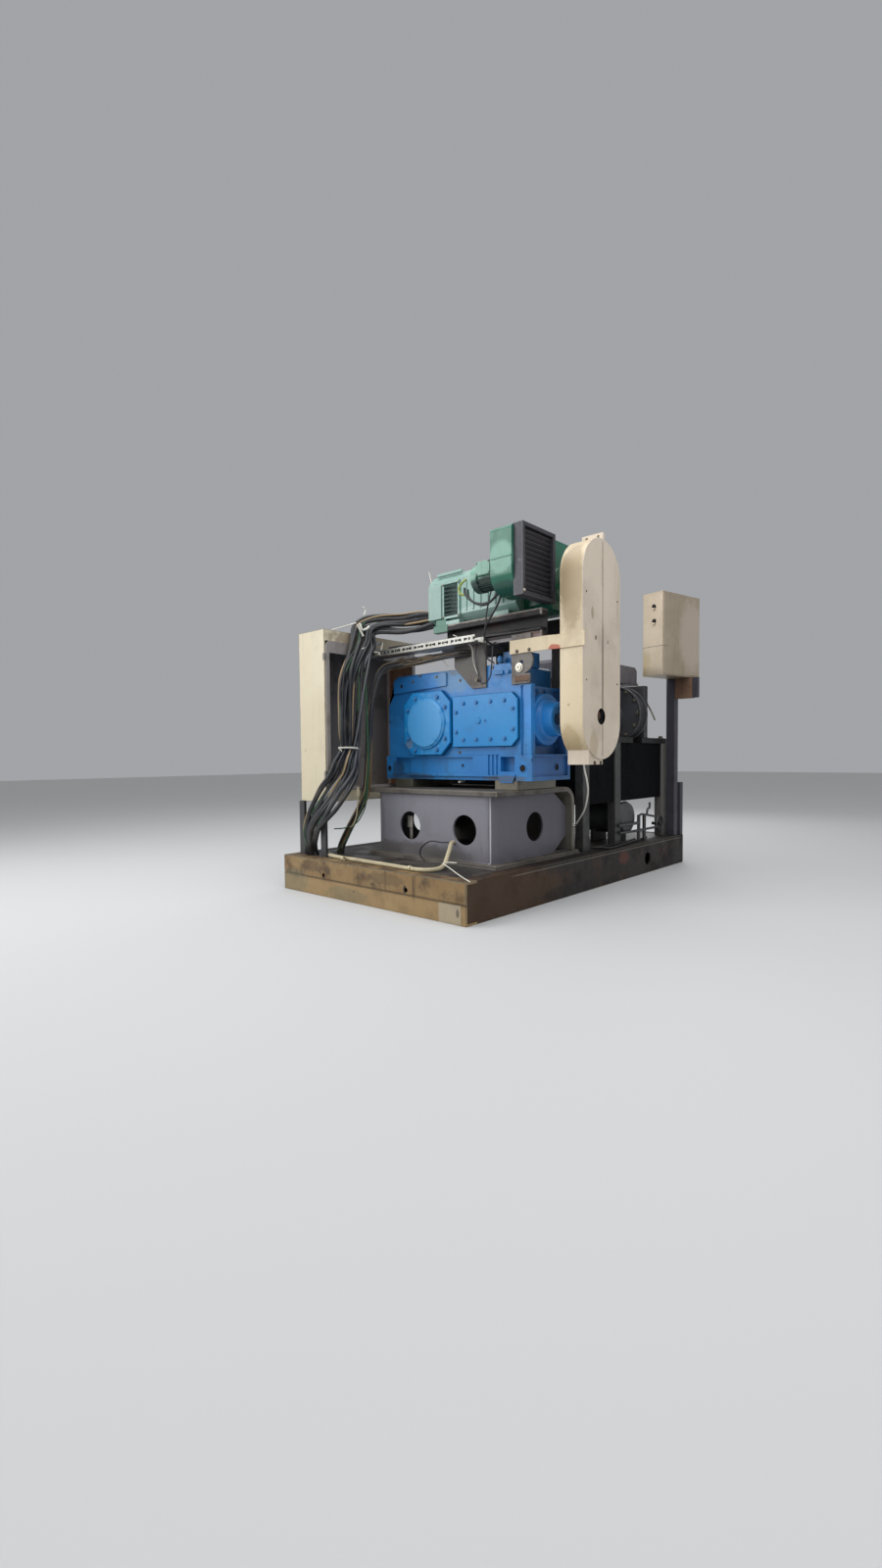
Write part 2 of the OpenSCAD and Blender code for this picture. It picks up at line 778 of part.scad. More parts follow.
// Louvred window cover and the plain box beside it, on both long sides
module motor_vent() {
    frame_w = 136;
    frame_h = 224;
    slat_count = 8;
    color("#9cc4b5")
        for (side = [0, 1])
            translate([0, side * 2 * shaft_y, 0]) mirror([0, side, 0])
                translate([motor_x + 122, shaft_y - motor_w / 2 - 12, motor_z + 40]) {
                    difference() {
                        cube([frame_w, 12, frame_h]);
                        translate([12, -eps, 14]) cube([frame_w - 24, 12 + 2 * eps, frame_h - 28]);
                    }
                    for (i = [0 : slat_count - 1])
                        translate([12 - eps, 1, 22 + i * 24]) rotate([-35, 0, 0])
                            cube([frame_w - 24 + 2 * eps, 3, 17]);
                }
}

// Square drive end with its bearing boss, and the air hood above it
module motor_end_block() {
    block_y = shaft_y - 100;
    block_w = motor_w / 2 + 100;
    hood_top = 2050 - motor_z;
    color("#4f8f78") translate([end_block_x, 0, 0]) difference() {
        union() {
            translate([0, block_y, motor_z + 12]) face_right(end_block_l - 24)
                cut_corners(block_w, motor_h - 12, 30);
            translate([end_block_l - 24, shaft_y, motor_axis_z]) rotate([0, 90, 0]) cylinder(d = 180, h = 24);
            translate([20, block_y, motor_z + motor_h - 40]) cube([end_block_l - 44, 210, hood_top - motor_h + 40]);
        }
        translate([end_block_l - 10, shaft_y, motor_axis_z]) rotate([0, 90, 0]) cylinder(d = 90, h = 11);
    }
}

// Blower

// Spiral outline of the scroll with its mouth towards +Y, drawn as (y, z)
module scroll_outline() {
    grow = 45;
    mouth = 165;
    steps = 40;
    spiral = [for (i = [0 : steps])
        let (a = 90 - 360 * i / steps, r = scroll_r + grow * (1 - i / steps))
        [-r * cos(a), r * sin(a)]];
    front = scroll_r + 32;
    top_r = 24;
    low_r = 112;
    union() {
        polygon(spiral);
        translate([0, scroll_r - 72]) square([mouth, grow + 72]);
        // flat front of the casing, with a small upper and a large lower corner
        translate([-front, 0]) square([front, scroll_r + grow - top_r]);
        translate([top_r - front, 0]) square([front - top_r, scroll_r + grow]);
        translate([top_r - front, scroll_r + grow - top_r]) circle(top_r);
        translate([low_r - front, -48]) circle(low_r);
        translate([-front, -48]) square([low_r, 48 + eps]);
    }
}

module blower_scroll() {
    color("#3f8a6e") translate([scroll_x, blower_y, blower_z]) {
        face_right(scroll_w) scroll_outline();
        // stiffening bands along the two side edges
        for (x = [0, scroll_w - 8]) translate([x, 0, 0]) rotate([0, 90, 0]) cylinder(r = scroll_r + 8, h = 8);
    }
}

// Small finned motor of the blower with its terminal box
module blower_motor() {
    r = 66;
    l = 190;
    fins = 20;
    color("#6f9c8c") translate([scroll_x - l, blower_y - 35, blower_z - 25]) {
        rotate([0, 90, 0]) union() {
            cylinder(r = r + 12, h = 40);
            translate([0, 0, 36]) linear_extrude(l - 46) union() {
                circle(r);
                for (i = [0 : fins - 1]) rotate(i * 360 / fins) translate([r - 6, -2]) square([15, 4]);
            }
            translate([0, 0, l - 14]) cylinder(r = r + 16, h = 14);
        }
        translate([56, -r - 30, -6]) cube([96, 60, 74]);
    }
}

// Intake box with a grille of sloping slats on its right face
module intake_filter() {
    rim = 22;
    open_h = filter_h - 2 * rim;
    pitch = open_h / louvre_count;
    y0 = blower_y - filter_w / 2;
    z0 = blower_z - filter_h / 2;
    color("#4b4a52") translate([filter_x, y0, z0]) {
        difference() {
            cube([filter_d, filter_w, filter_h]);
            translate([filter_d - 26, rim, rim]) cube([26 + eps, filter_w - 2 * rim, open_h]);
        }
        for (i = [0 : louvre_count - 1])
            translate([filter_d - 25, rim - eps, rim + i * pitch + 4]) rotate([0, 40, 0])
                translate([-2, 0, 0]) cube([4, filter_w - 2 * rim + 2 * eps, pitch * 0.72]);
    }
}

// Cable cabinet

module cabinet_shell() {
    lintel = 70;
    color("#d8cfb6") translate([cab_x, cab_y, cab_z]) difference() {
        cube([cab_d, cab_w, cab_h]);
        translate([cab_t, cab_t, cab_t]) cube([cab_d - 2 * cab_t, cab_w - 2 * cab_t, cab_h - 2 * cab_t]);
        translate([cab_d - cab_t - eps, 8, 70]) cube([cab_t + 2 * eps, cab_w - 16, cab_h - 70 - lintel]);
    }
}

// Frame of four bars round the open side, with the back panel behind the cables
module cabinet_frame() {
    bar = 26;
    open_h = cab_h - 140;
    open_w = cab_w - 16;
    // each row is a bar: place and size in the frame's outline
    bars = [[0, 0, bar, open_h], [open_w - bar, 0, bar, open_h],
        [bar + fit, 0, open_w - 2 * bar - 2 * fit, bar],
        [bar + fit, open_h - cab_header, open_w - 2 * bar - 2 * fit, cab_header]];
    color("#5a5148") translate([cab_x, cab_y, cab_z]) {
        for (b = bars) translate([cab_d, 8, 70]) face_right(cab_frame_t) intersection() {
            rounded(open_w, open_h, 40);
            translate([b[0], b[1]]) square([b[2], b[3]]);
        }
        translate([cab_t, 40, 50]) cube([6, cab_w - 80, cab_h - 100]);
    }
}

module cabinet_legs() {
    leg = 50;
    color("#6d6b68")
        for (x = [cab_x - 10, cab_x + cab_d - leg], y = [cab_y - 10, cab_y + cab_w - leg])
            translate([x, y, skid_h]) difference() {
                cube([leg, leg, cab_leg_h]);
                translate([6, 6, -eps]) cube([leg, leg, cab_leg_h + 2 * eps]);
            }
}

// Cables

module cable_tray() {
    tray_l = left_plate_x - cab_x - cab_d - cab_frame_t;
    tray_w = 100;
    slots = 16;
    color("#9a9a94") translate([cab_x + cab_d + cab_frame_t, gear_y - bracket_t - tray_w, channel_z + 8]) difference() {
        cube([tray_l, tray_w, 40]);
        translate([-eps, 2, 2]) cube([tray_l + 2 * eps, tray_w - 4, 40]);
        for (i = [0 : slots - 1])
            translate([30 + i * (tray_l - 60) / slots, -eps, 14]) cube([26, tray_w + 2 * eps, 12]);
    }
}

// Thick bundle from the motor's left end over the tray and down beside the cabinet
power_route = [[730, 700, 1745], [660, 680, 1742], [580, 610, 1735], [500, 540, 1722], [430, 470, 1705],
    [388, 390, 1668], [380, 325, 1590], [385, 280, 1470], [395, 235, 1230], [395, 205, 1000], [398, 180, 860],
    [398, 130, 740], [385, 62, 640], [330, 46, 550], [260, 46, 470], [200, 70, 390], [170, 120, 310],
    [165, 156, 262], [165, 160, 220]];
module power_loom() {
    color("#222326") sweep(smooth_path(power_route, 2), 40, 10);
}

// Lighter bundle from under the tray, down behind the thick one
control_route = [[1080, 588, 1455], [1050, 556, 1452], [900, 545, 1448], [700, 540, 1445], [520, 530, 1440],
    [430, 505, 1415], [402, 480, 1330], [398, 470, 1150], [398, 465, 950], [395, 450, 780], [375, 415, 640],
    [355, 380, 540], [310, 330, 430], [265, 285, 320], [246, 268, 262], [245, 265, 220]];
module control_loom() {
    color("#7a6a50") sweep(smooth_path(control_route, 2), 26, 8);
}

// Plastic conduit on the skid, bent up to the front web
conduit_route = [[cab_x + cab_d, 115, 233], [400, 100, 232], [560, 92, 232], [740, 90, 232], [900, 84, 232],
    [1050, 78, 232], [1140, 82, 232], [1195, 112, 233], [1212, 165, 236], [1195, 225, 246], [1160, 285, 272],
    [1128, 345, 312], [1100, 392, 340], [1094, ped_y, 344]];
module conduit() {
    color("#cfc8ae") sweep(smooth_path(conduit_route, 2), 12, 8);
}

// Thin free lead from the box under the guard to the pedestal
lead_end_x = ped_x + ped_w + 45;
lead_route = [[1770, 730, guard_z - guard_r - 14], [1769, 742, 765], [1757, 785, 712], [1728, 850, 652], [1682, 920, 590],
    [1622, 1000, 530], [1560, 1070, 482], [1500, 1130, 442], [1458, 1175, 414], [lead_end_x, 1195, 402]];
module guard_lead() {
    color("#e6e2d4") sweep(smooth_path(lead_route, 2), 5, 8);
}

// Roll stand

module stand_columns() {
    rows = [0, 430, stand_l - column_d];
    color("#6a6963")
        for (x = [stand_x, stand_x + stand_w - column_w], y = rows)
            translate([x, stand_y + y, skid_h]) cube([column_w, column_d, stand_h - table_t]);
}

// Dark sheets between the columns, open below so that the pump shows
module stand_panels() {
    sheet = 6;
    inset = 12;
    panel_z = 300;
    h = stand_h - table_t - panel_z;
    bays = [[column_d, 430], [430 + column_d, stand_l - column_d]];
    color("#17181b") {
        for (x = [stand_x + inset, stand_x + stand_w - inset - sheet], bay = bays)
            translate([x, stand_y + bay[0], skid_h + panel_z]) cube([sheet, bay[1] - bay[0], h]);
        for (y = [stand_y + inset, stand_y + stand_l - inset - sheet])
            translate([stand_x + column_w, y, skid_h + panel_z]) cube([stand_w - 2 * column_w, sheet, h]);
    }
}

// Table plate with a slot for the drum at its right edge
module stand_table() {
    slot_w = drum_r + 14;
    color("#2c2c2e") difference() {
        translate([stand_x, stand_y, table_z]) cube([stand_w, stand_l, table_t]);
        translate([drum_x - slot_w, drum_y - 12, table_z - eps])
            cube([2 * slot_w, drum_l + 24, table_t + 2 * eps]);
    }
}

// One closed-top window frame, drawn as (x, z)
module housing_outline() {
    window_w = chock_w + 4;
    difference() {
        polygon([[0, 0], [housing_w, 0], [housing_w, 40], [housing_w - 60, 70], [housing_w - 60, housing_h - 60],
            [housing_w - 110, housing_h], [110, housing_h], [60, housing_h - 60], [60, 70], [0, 40]]);
        translate([(housing_w - window_w) / 2, -eps]) square([window_w, housing_h - 70]);
    }
}

// A bearing block with its neck bore, from its foot to its head around the neck
module chock(foot, head, neck_z) {
    translate([slow_x, 0, 0]) difference() {
        translate([-chock_w / 2, 0, foot]) cube([chock_w, housing_t, head - foot]);
        translate([0, -eps, neck_z]) rotate([-90, 0, 0]) cylinder(d = neck_d + 2 * fit, h = housing_t + 2 * eps);
    }
}

// Lower blocks stand on the table, upper ones bear against the housings
module roll_chocks() {
    split = (lower_roll_z + upper_roll_z) / 2;
    color("#4c4d50")
        for (y = [front_housing_y, rear_housing_y]) translate([0, y, 0]) {
            chock(stand_top, split - 1, lower_roll_z);
            chock(split + 1, stand_top + housing_h - 70, upper_roll_z);
        }
}

module roll_housings() {
    color("#3a3b3d")
        for (y = [front_housing_y, rear_housing_y]) {
            translate([housing_x, y, stand_top]) stand_up(housing_t) housing_outline();
        }
}

// Two rolls with turned necks
module work_rolls() {
    neck = 35 + housing_t + 40;
    color("#70747a")
        for (z = [lower_roll_z, upper_roll_z])
            translate([slow_x, barrel_y - neck, z]) rotate([-90, 0, 0]) union() {
                cylinder(d = neck_d, h = roll_l + 2 * neck);
                translate([0, 0, neck]) cylinder(d = roll_d, h = roll_l);
            }
}

// Spindle from the slow shaft to the lower roll, with two flanged couplings
module roll_spindle() {
    y0 = gear_y + gear_l - 26;
    y1 = barrel_y - 35 - housing_t - 40;
    color("#5f6266") translate([slow_x, y0, shaft_z]) rotate([-90, 0, 0]) union() {
        cylinder(d = neck_d, h = y1 - y0);
        translate([0, 0, 110]) cylinder(d = 190, h = 40);
        translate([0, 0, y1 - y0 - 60]) cylinder(d = 150, h = 60);
    }
}

// Closed sheet hood over both housings
module roll_hood() {
    x0 = 420;
    hood_w = 880;
    l = rear_housing_y - front_housing_y + housing_t;
    t = 4;
    color("#55525c") translate([x0, front_housing_y - 40, stand_top + housing_h]) difference() {
        face_right(hood_w) hood_side(l, 0);
        translate([t, 0, 0]) face_right(hood_w - 2 * t) hood_side(l, t);
    }
}

// Side outline of the hood, drawn as (y, z), drawn in by t on every side
module hood_side(l, t) {
    c = t / 2;
    polygon([[t, t], [l - t, t], [l - t, hood_h - 24 - c], [l - 30 - c, hood_h - t],
        [30 + c, hood_h - t], [t, hood_h - 24 - c]]);
}

// Flanged drum on its bearing bracket beside the rolls
module flanged_drum() {
    plate_w = 310;
    color("#37383b") {
        translate([drum_x, drum_y, drum_z]) rotate([-90, 0, 0]) difference() {
            union() {
                cylinder(r = drum_r, h = 16);
                cylinder(r = drum_r - 24, h = drum_l);
                translate([0, 0, drum_l - 16]) cylinder(r = drum_r, h = 16);
                translate([0, 0, drum_l - eps]) cylinder(d = 70, h = bracket_y - drum_y - drum_l + 2 * eps);
            }
            translate([0, 0, -eps]) difference() {
                cylinder(r = drum_r - 14, h = 8);
                cylinder(r = 60, h = 8);
            }
        }
        translate([drum_x - plate_w / 2, bracket_y, stand_top]) difference() {
            cube([plate_w, 60, 382]);
            translate([-eps, -eps, 382]) rotate([0, 30, 0]) cube([80, 61 + eps, 60]);
        }
    }
}

// Pump motor on the skid under the table, with its pipes
module pump_unit() {
    axis_y = stand_y + 620;
    axis_z = skid_h + 175;
    x0 = stand_x + stand_w - 280;
    color("#7d8084") {
        translate([x0, axis_y, axis_z]) rotate([0, 90, 0]) union() {
            cylinder(r = 112, h = 250);
            translate([0, 0, 250]) cylinder(r1 = 120, r2 = 104, h = 30);
        }
        for (x = [x0 + 30, x0 + 190]) translate([x, axis_y - 90, skid_h]) cube([30, 180, 90]);
    }
}

// Control box and post

module control_post() {
    bracket_w = 170;
    color("#4d5058") {
        translate([post_x, post_y, skid_h]) cube([post_w, post_w, post_top - skid_h]);
        translate([post_x + post_w, post_y + 20, post_top - 152]) difference() {
            cube([bracket_w, 30, 152]);
            translate([-eps, 8, 8]) cube([bracket_w - 8, 22 + eps, 138]);
        }
        translate([skid_w - 46, skid_l - 52, skid_h]) cube([44, 48, 410]);
    }
}

// Sheet box with its lid on the right face
module control_box() {
    wall = 3;
    color("#b5ad9c") translate([box_x, box_y, post_top]) rotate([0, 0, -box_turn]) {
        translate([-box_d, 0, 0]) difference() {
            union() {
                linear_extrude(box_h) rounded(box_d - 2, box_w, 4);
                translate([box_d - 3, 10, 10]) cube([5, box_w - 20, box_h - 20]);
            }
            translate([wall, wall, wall]) cube([box_d - 2 - 2 * wall, box_w - 2 * wall, box_h - 2 * wall]);
        }
        for (z = [box_h - 118, box_h - 226])
            translate([-box_d * 0.45, 0, z]) rotate([90, 0, 0]) cylinder(d = 24, h = 10);
    }
}

// Every piece, moved so that the origin lies under the middle of the skid
module assembly(name) {
    translate([-skid_w / 2, -skid_l / 2, 0]) children();
}

assembly() skid_front_beam();
assembly() skid_rear_beam();
assembly() skid_side_beams();
assembly() skid_cross_beams();
assembly() skid_deck();
assembly() pedestal_base();
assembly() pedestal_webs();
assembly() pedestal_top();
assembly() foot_bars();
assembly() gear_case_foot();
assembly() gear_case();
assembly() bearing_cover();
assembly() inspection_cover();
assembly() input_housing();
assembly() drive_shafts();
assembly() guard_case();
assembly() guard_covers();
assembly() guard_strap();
assembly() guard_brackets();
assembly() belt_pulleys();
assembly() drive_belts();
assembly() platform_brackets();
assembly() platform_channels();
assembly() motor_body();
assembly() motor_vent();
assembly() motor_end_block();
assembly() blower_scroll();
assembly() blower_motor();
assembly() intake_filter();
assembly() cabinet_shell();
assembly() cabinet_frame();
assembly() cabinet_legs();
assembly() cable_tray();
assembly() power_loom();
assembly() control_loom();
assembly() conduit();
assembly() guard_lead();
assembly() stand_columns();
assembly() stand_panels();
assembly() stand_table();
assembly() roll_housings();
assembly() roll_chocks();
assembly() work_rolls();
assembly() roll_spindle();
assembly() roll_hood();
assembly() flanged_drum();
assembly() pump_unit();
assembly() control_post();
assembly() control_box();
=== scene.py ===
import bpy
import bmesh
import math
import random
from mathutils import Matrix, Vector
from mathutils.bvhtree import BVHTree
from mathutils.geometry import convex_hull_2d


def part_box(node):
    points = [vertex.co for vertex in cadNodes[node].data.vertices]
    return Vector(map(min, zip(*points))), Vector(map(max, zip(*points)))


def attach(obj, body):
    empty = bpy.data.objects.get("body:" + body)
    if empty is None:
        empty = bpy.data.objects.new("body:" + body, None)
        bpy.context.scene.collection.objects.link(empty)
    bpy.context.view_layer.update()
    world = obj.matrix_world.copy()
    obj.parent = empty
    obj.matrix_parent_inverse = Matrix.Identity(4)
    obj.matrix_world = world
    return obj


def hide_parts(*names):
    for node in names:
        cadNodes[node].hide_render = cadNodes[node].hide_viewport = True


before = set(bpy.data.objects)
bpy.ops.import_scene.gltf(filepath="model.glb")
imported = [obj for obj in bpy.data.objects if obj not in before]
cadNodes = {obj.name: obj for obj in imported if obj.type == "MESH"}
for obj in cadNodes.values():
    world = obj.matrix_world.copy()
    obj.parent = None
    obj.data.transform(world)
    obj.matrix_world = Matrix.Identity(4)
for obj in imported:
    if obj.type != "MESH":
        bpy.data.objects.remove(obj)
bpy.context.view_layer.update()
print("frame loaded with", len(cadNodes), "nodes")


# places and colours

skidHalf = (0.77, 1.32)


def spot(x, y, z):
    # a place in mm from the skid's front left corner
    return Vector((x / 1000 - skidHalf[0], y / 1000 - skidHalf[1], z / 1000))


def spots(rows):
    return [spot(*r) for r in rows]


def makeSurface():
    # the whole CAD part as one surface that rays can meet
    verts, faces = [], []
    for obj in cadNodes.values():
        first = len(verts)
        verts += [obj.matrix_world @ v.co for v in obj.data.vertices]
        faces += [[first + i for i in p.vertices] for p in obj.data.polygons]
    return BVHTree.FromPolygons(verts, faces)


surface = makeSurface()


def seated(place, aim, reach=0.03):
    # a place in mm moved along its aim onto the CAD part's surface
    place, aim = spot(*place), Vector(aim).normalized()
    found = surface.ray_cast(place + aim * reach, -aim, reach * 2)[0]
    if found is None:
        print("no surface at", [round(v * 1000) for v in place])
    return place if found is None else found


def shade(r, g, b):
    # a colour as a painter's chart gives it, 0 to 255, made linear
    out = []
    for v in (r, g, b):
        v = v / 255
        out.append(v / 12.92 if v <= 0.04045 else ((v + 0.055) / 1.055) ** 2.4)
    return (*out, 1.0)


# camera and the room light

cameraSetup = {
    "place": (2.8556, -3.7705, 0.8376), "turn": 0.7412, "tilt": -0.0402, "lean": -0.00912, "lens": 15.146,
}


def makeCamera(setup):
    turn, tilt, lean = setup["turn"], setup["tilt"], setup["lean"]
    ahead = Vector((-math.sin(turn) * math.cos(tilt), math.cos(turn) * math.cos(tilt), math.sin(tilt)))
    side = Vector((math.cos(turn), math.sin(turn), 0))
    up = side.cross(ahead)
    right = side * math.cos(lean) + up * math.sin(lean)
    top = up * math.cos(lean) - side * math.sin(lean)
    data = bpy.data.cameras.new("photoCamera")
    data.lens = setup["lens"]
    data.sensor_width = 36
    data.clip_end = 200
    camera = bpy.data.objects.new("photoCamera", data)
    bpy.context.scene.collection.objects.link(camera)
    facing = Matrix((right, top, -ahead)).transposed().to_4x4()
    camera.matrix_world = Matrix.Translation(setup["place"]) @ facing
    bpy.context.scene.camera = camera


makeCamera(cameraSetup)

lampSetup = {
    "overhead": {"place": (0.4, -1.6, 5.2), "aim": (0, -0.1, 0.8), "size": 6.0, "watts": 260},
    "frontLeft": {"place": (-2.8, -4.8, 3.0), "aim": (0, -0.4, 1.1), "size": 3.0, "watts": 120},
    "frontRight": {"place": (4.6, -2.4, 3.2), "aim": (0.2, 0, 1.3), "size": 2.6, "watts": 38},
    "behind": {"place": (-1.5, 4.6, 3.4), "aim": (0, 0, 1.0), "size": 3.0, "watts": 60},
}


def makeLamps(setup):
    for name, lamp in setup.items():
        data = bpy.data.lights.new(name, "AREA")
        data.size = lamp["size"]
        data.energy = lamp["watts"]
        obj = bpy.data.objects.new(name, data)
        bpy.context.scene.collection.objects.link(obj)
        away = Vector(lamp["aim"]) - Vector(lamp["place"])
        turn = away.to_track_quat("-Z", "Y").to_matrix().to_4x4()
        obj.matrix_world = Matrix.Translation(lamp["place"]) @ turn


def makeWorld(lightLevel, backLevel):
    # one level lights the machine, another is what the camera and reflections see
    world = bpy.data.worlds.new("studio")
    bpy.context.scene.world = world
    world.use_nodes = True
    nodes, links = world.node_tree.nodes, world.node_tree.links
    nodes.clear()
    out = nodes.new("ShaderNodeOutputWorld")
    mix = nodes.new("ShaderNodeMixShader")
    light = nodes.new("ShaderNodeBackground")
    back = nodes.new("ShaderNodeBackground")
    path = nodes.new("ShaderNodeLightPath")
    first = nodes.new("ShaderNodeMath")
    second = nodes.new("ShaderNodeMath")
    first.operation = second.operation = "MAXIMUM"
    light.inputs["Color"].default_value = (1, 1, 1, 1)
    light.inputs["Strength"].default_value = lightLevel
    back.inputs["Color"].default_value = (*backLevel, 1)
    back.inputs["Strength"].default_value = 1
    links.new(path.outputs["Is Camera Ray"], first.inputs[0])
    links.new(path.outputs["Is Glossy Ray"], first.inputs[1])
    links.new(first.outputs[0], second.inputs[0])
    links.new(path.outputs["Is Transmission Ray"], second.inputs[1])
    links.new(second.outputs[0], mix.inputs["Fac"])
    links.new(light.outputs[0], mix.inputs[1])
    links.new(back.outputs[0], mix.inputs[2])
    links.new(mix.outputs[0], out.inputs["Surface"])


makeLamps(lampSetup)
makeWorld(0.5, (0.36, 0.37, 0.385))
bpy.context.scene.view_settings.view_transform = "Standard"


def makeFloor(size, colour):
    mesh = bpy.data.meshes.new("floor")
    s = size / 2
    mesh.from_pydata([(-s, -s, 0), (s, -s, 0), (s, s, 0), (-s, s, 0)], [], [(0, 1, 2, 3)])
    floor = bpy.data.objects.new("floor", mesh)
    bpy.context.scene.collection.objects.link(floor)
    mat = bpy.data.materials.new("floorPaint")
    mat.use_nodes = True
    bsdf = mat.node_tree.nodes["Principled BSDF"]
    bsdf.inputs["Base Color"].default_value = colour
    bsdf.inputs["Roughness"].default_value = 0.7
    mesh.materials.append(mat)


makeFloor(60, (0.50, 0.51, 0.52, 1))
print("camera, lamps and floor made")


# shared shader groups

def linkOrSet(tree, sock, value):
    if isinstance(value, bpy.types.NodeSocket):
        tree.links.new(value, sock)
    else:
        sock.default_value = value


def newGroup(name, outputs, **inputs):
    # a group that reads a place; a number makes a number input and None a vector input
    tree = bpy.data.node_groups.new(name, "ShaderNodeTree")
    for label, value in {"Vector": None, **inputs}.items():
        kind = "NodeSocketVector" if value is None else "NodeSocketFloat"
        sock = tree.interface.new_socket(label.replace("_", " "), in_out="INPUT", socket_type=kind)
        if value is not None:
            sock.default_value = value
    for label in outputs:
        tree.interface.new_socket(label, in_out="OUTPUT", socket_type="NodeSocketFloat")
    return tree, tree.nodes.new("NodeGroupInput").outputs, tree.nodes.new("NodeGroupOutput").inputs


def mathNode(tree, operation, a, b=None, c=None, clamp=False):
    node = tree.nodes.new("ShaderNodeMath")
    node.operation = operation
    node.use_clamp = clamp
    for i, value in enumerate((a, b, c)):
        if value is not None:
            linkOrSet(tree, node.inputs[i], value)
    return node.outputs[0]


def product(tree, a, b):
    return mathNode(tree, "MULTIPLY", a, b)


def larger(tree, a, b):
    return mathNode(tree, "MAXIMUM", a, b)


def lessThanOne(tree, value):
    return mathNode(tree, "SUBTRACT", 1.0, value)


def partsOf(tree, vector):
    node = tree.nodes.new("ShaderNodeSeparateXYZ")
    tree.links.new(vector, node.inputs[0])
    return node.outputs


def rampNode(tree, value, low, high):
    # smooth step of a value from low to high
    node = tree.nodes.new("ShaderNodeMapRange")
    node.interpolation_type = "SMOOTHSTEP"
    tree.links.new(value, node.inputs["Value"])
    linkOrSet(tree, node.inputs["From Min"], low)
    linkOrSet(tree, node.inputs["From Max"], high)
    return node.outputs["Result"]


def noiseNode(tree, vector, scale, detail=4.0, rough=0.6, stretch=None):
    node = tree.nodes.new("ShaderNodeTexNoise")
    node.inputs["Detail"].default_value = detail
    node.inputs["Roughness"].default_value = rough
    if stretch is not None:
        mapping = tree.nodes.new("ShaderNodeMapping")
        mapping.inputs["Scale"].default_value = stretch
        tree.links.new(vector, mapping.inputs["Vector"])
        vector = mapping.outputs["Vector"]
    tree.links.new(vector, node.inputs["Vector"])
    linkOrSet(tree, node.inputs["Scale"], scale)
    return node.outputs["Fac"]


def makePatches():
    # soft cloudy patches, such as fading, oil film and rubbed paint
    tree, given, result = newGroup("cloudyPatches", ["Mask"], Size=3.0, Low=0.45, High=0.7)
    value = noiseNode(tree, given["Vector"], given["Size"], 6, 0.62)
    tree.links.new(rampNode(tree, value, given["Low"], given["High"]), result["Mask"])
    return tree


def makeRuns():
    # narrow runs that follow gravity
    tree, given, result = newGroup("gravityRuns", ["Mask"], Size=26.0, Low=0.52, High=0.75)
    fine = noiseNode(tree, given["Vector"], given["Size"], 3, 0.55, (1, 1, 0.06))
    broad = noiseNode(tree, given["Vector"], 2.2, 2, 0.5)
    streaks = rampNode(tree, fine, given["Low"], given["High"])
    tree.links.new(product(tree, streaks, rampNode(tree, broad, 0.42, 0.62)), result["Mask"])
    return tree


def makeChips():
    # small sharp chips and scuffs
    tree, given, result = newGroup("sharpChips", ["Mask"], Size=40.0, Amount=0.3)
    fine = noiseNode(tree, given["Vector"], given["Size"], 5, 0.7)
    broad = noiseNode(tree, given["Vector"], 5.0, 3, 0.6)
    both = product(tree, fine, broad)
    edge = mathNode(tree, "SUBTRACT", 0.46, product(tree, given["Amount"], 0.18))
    high = mathNode(tree, "ADD", edge, 0.02)
    tree.links.new(rampNode(tree, both, edge, high), result["Mask"])
    return tree


def makeBoxEdges():
    # wear along the edges of a box between two corners
    tree, given, result = newGroup("boxEdgeWear", ["Mask"], Low_Corner=None, High_Corner=None, Reach=0.02)
    place, lowest, highest = (partsOf(tree, given[k]) for k in ("Vector", "Low Corner", "High Corner"))
    gaps = []
    for i in range(3):
        low = mathNode(tree, "ABSOLUTE", mathNode(tree, "SUBTRACT", place[i], lowest[i]))
        high = mathNode(tree, "ABSOLUTE", mathNode(tree, "SUBTRACT", highest[i], place[i]))
        gaps.append(mathNode(tree, "MINIMUM", low, high))
    near = mathNode(tree, "MINIMUM", gaps[0], gaps[1])
    far = larger(tree, gaps[0], gaps[1])
    second = larger(tree, near, mathNode(tree, "MINIMUM", far, gaps[2]))
    rough = noiseNode(tree, given["Vector"], 30, 5, 0.7)
    limit = product(tree, given["Reach"], product(tree, rough, 1.6))
    mask = lessThanOne(tree, rampNode(tree, second, product(tree, limit, 0.4), limit))
    tree.links.new(mask, result["Mask"])
    return tree


def makeGrain():
    # surface height: cast skin or sprayed paint, with a broad waviness
    tree, given, result = newGroup("surfaceGrain", ["Height"], Size=300.0, Waves=0.3)
    fine = noiseNode(tree, given["Vector"], given["Size"], 3, 0.6)
    broad = noiseNode(tree, given["Vector"], 9.0, 3, 0.55)
    value = mathNode(tree, "ADD", product(tree, fine, 0.35), product(tree, broad, given["Waves"]))
    tree.links.new(value, result["Height"])
    return tree


def makeSettled():
    # dust and oil that settle on what faces up, and a darkening low on the machine
    tree, given, result = newGroup("settledDirt", ["Top", "Foot"], Facing=None, Size=6.0, Low_Height=0.2,
                                   High_Height=0.6)
    facingUp = partsOf(tree, given["Facing"])[2]
    height = partsOf(tree, given["Vector"])[2]
    cloud = noiseNode(tree, given["Vector"], given["Size"], 5, 0.6)
    top = product(tree, rampNode(tree, facingUp, 0.5, 0.95), rampNode(tree, cloud, 0.3, 0.6))
    raised = rampNode(tree, height, given["Low Height"], given["High Height"])
    foot = product(tree, lessThanOne(tree, raised), rampNode(tree, cloud, 0.25, 0.65))
    tree.links.new(top, result["Top"])
    tree.links.new(foot, result["Foot"])
    return tree


